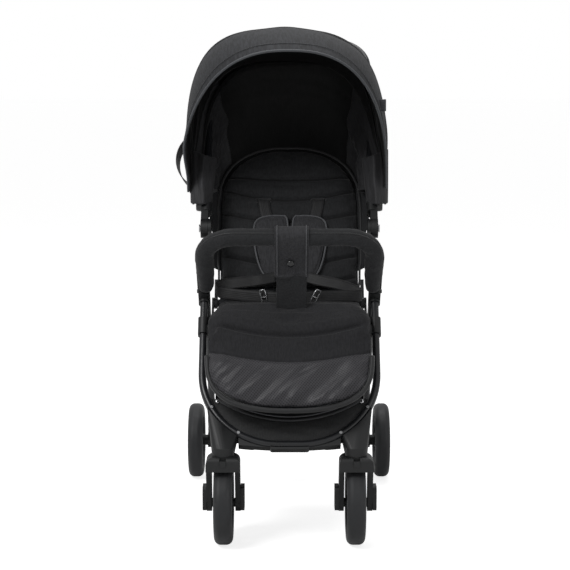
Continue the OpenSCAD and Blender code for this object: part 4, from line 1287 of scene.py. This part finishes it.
def basket_shell():
    """Open basket of soft cloth: rounded corners, slack walls between its straps and a sagging bottom."""
    rim, floor_z, half, bottom = 300.0, 197.0, 150.0, 0.4

    def place(u, v):
        f = max(0.0, (v - bottom) / (1 - bottom))
        front, back = -274 + 72 * f, 90 - 57 * f
        middle, depth = (front + back) / 2, (back - front) / 2
        a = 2 * pi * u
        x = (half - 1.5 * (1 - f)) * rounded(cos(a), 7)
        y = middle + depth * rounded(sin(a), 7)
        if v < bottom:
            share = v / bottom
            x, y = x * share, middle + (y - middle) * share
            sag = 1 - (max(abs(x) / half, abs(y - middle) / 182)) ** 3
            return Vector((x, y, floor_z + 0.5 - 4.5 * sag + 0.8 * ripple(x / 40, y / 40, 0)))
        z = floor_z + (rim - floor_z) * f
        slack = sin(pi * f) * (2.4 * ripple(x / 38, y / 38, z / 26) - 1.0) - 1.8 * bump(f - 0.93, 0.02)
        droop = 9.0 * sin(pi * f / 2) ** 2 * bump(x, 95) * (1 if y < middle else 0.6)
        length = max(1.0, hypot(x, y - middle))
        return Vector((x + slack * x / length, y + slack * (y - middle) / length, z - droop))

    return grid(120, 30, place, (1040, 300))


shell = basket_shell()
bmesh.ops.remove_doubles(shell, verts=shell.verts, dist=0.05)
basket_piece = put("basket_cloth", shell, OXFORD, "front_frame", thick=1.6,
                   away=(0, -90, 260), replaces=("basket",), levels=1)
for s, side in SIDES.items():
    for number, rows in enumerate((((-189, 262), (-184, 300), (-176, 345), (-166, 396)),
                                   ((27, 262), (20, 300), (4, 345), (-14, 400))), 1):
        strap = ribbon(even_path(side_view(rows, s * 148.6), 20), lambda t: Vector((0, 1, 0.15)), 18)
        put(f"basket_strap_{side}_{number}", strap, WEBBING, "front_frame", thick=1.6,
            away=(0, -90, 300))


def carry_loop():
    """Loop of webbing at the left side of the handle, sewn flat at both ends."""
    half, out = 82.0, 58.0
    radius = (half * half + out * out) / (2 * out)
    reach = asin(half / radius)
    tube_side = -SIDE_X - TUBE_W / 2 - 1.6
    rows = [(tube_side - out + radius - radius * cos(a), 188 + radius * sin(a), -19 + 1.5 * sin(3 * a))
            for a in (reach * (2 * k / 12 - 1) for k in range(13))]

    def twist(t):
        a = reach * (2 * t - 1)
        return Vector((-cos(a), sin(a), 0)) * (0.15 + 0.4 * t) + Vector((0, 0, 1))

    put("carry_loop", ribbon(even_path(rows, 60), twist, 20), WEBBING, "handle", HANDLE_PLANE,
        thick=2.0, away=(0, 100, 760), replaces=("carry_strap",))


carry_loop()


def grip(s):
    """Foam grip around one half of the handle's top bar, with fine grooves."""
    grooves = 14

    def radii(t, a):
        end = step(min(t, 1 - t), 0, 0.06)
        groove = 0.45 * (0.5 + 0.5 * cos(t * 2 * pi * grooves)) * end
        grow = 3.6 + 1.3 * end - groove
        return (TUBE_W / 2 + grow) * rounded(cos(a), 2.3), (TUBE_D / 2 + grow) * rounded(sin(a), 2.6)

    path = [Vector((s * (42.5 + 57 * k / 84), HANDLE_LEN, 0)) for k in range(85)]
    return swept(path, lambda i: (Vector((0, 1, 0)), Vector((0, 0, 1))), 40, radii)


both = grip(-1)
part = bpy.data.meshes.new("grip")
grip(1).to_mesh(part)
both.from_mesh(part)
bpy.data.meshes.remove(part)
put("foam_grips", both, GRIP, "handle", HANDLE_PLANE, replaces=("handle_grip",))
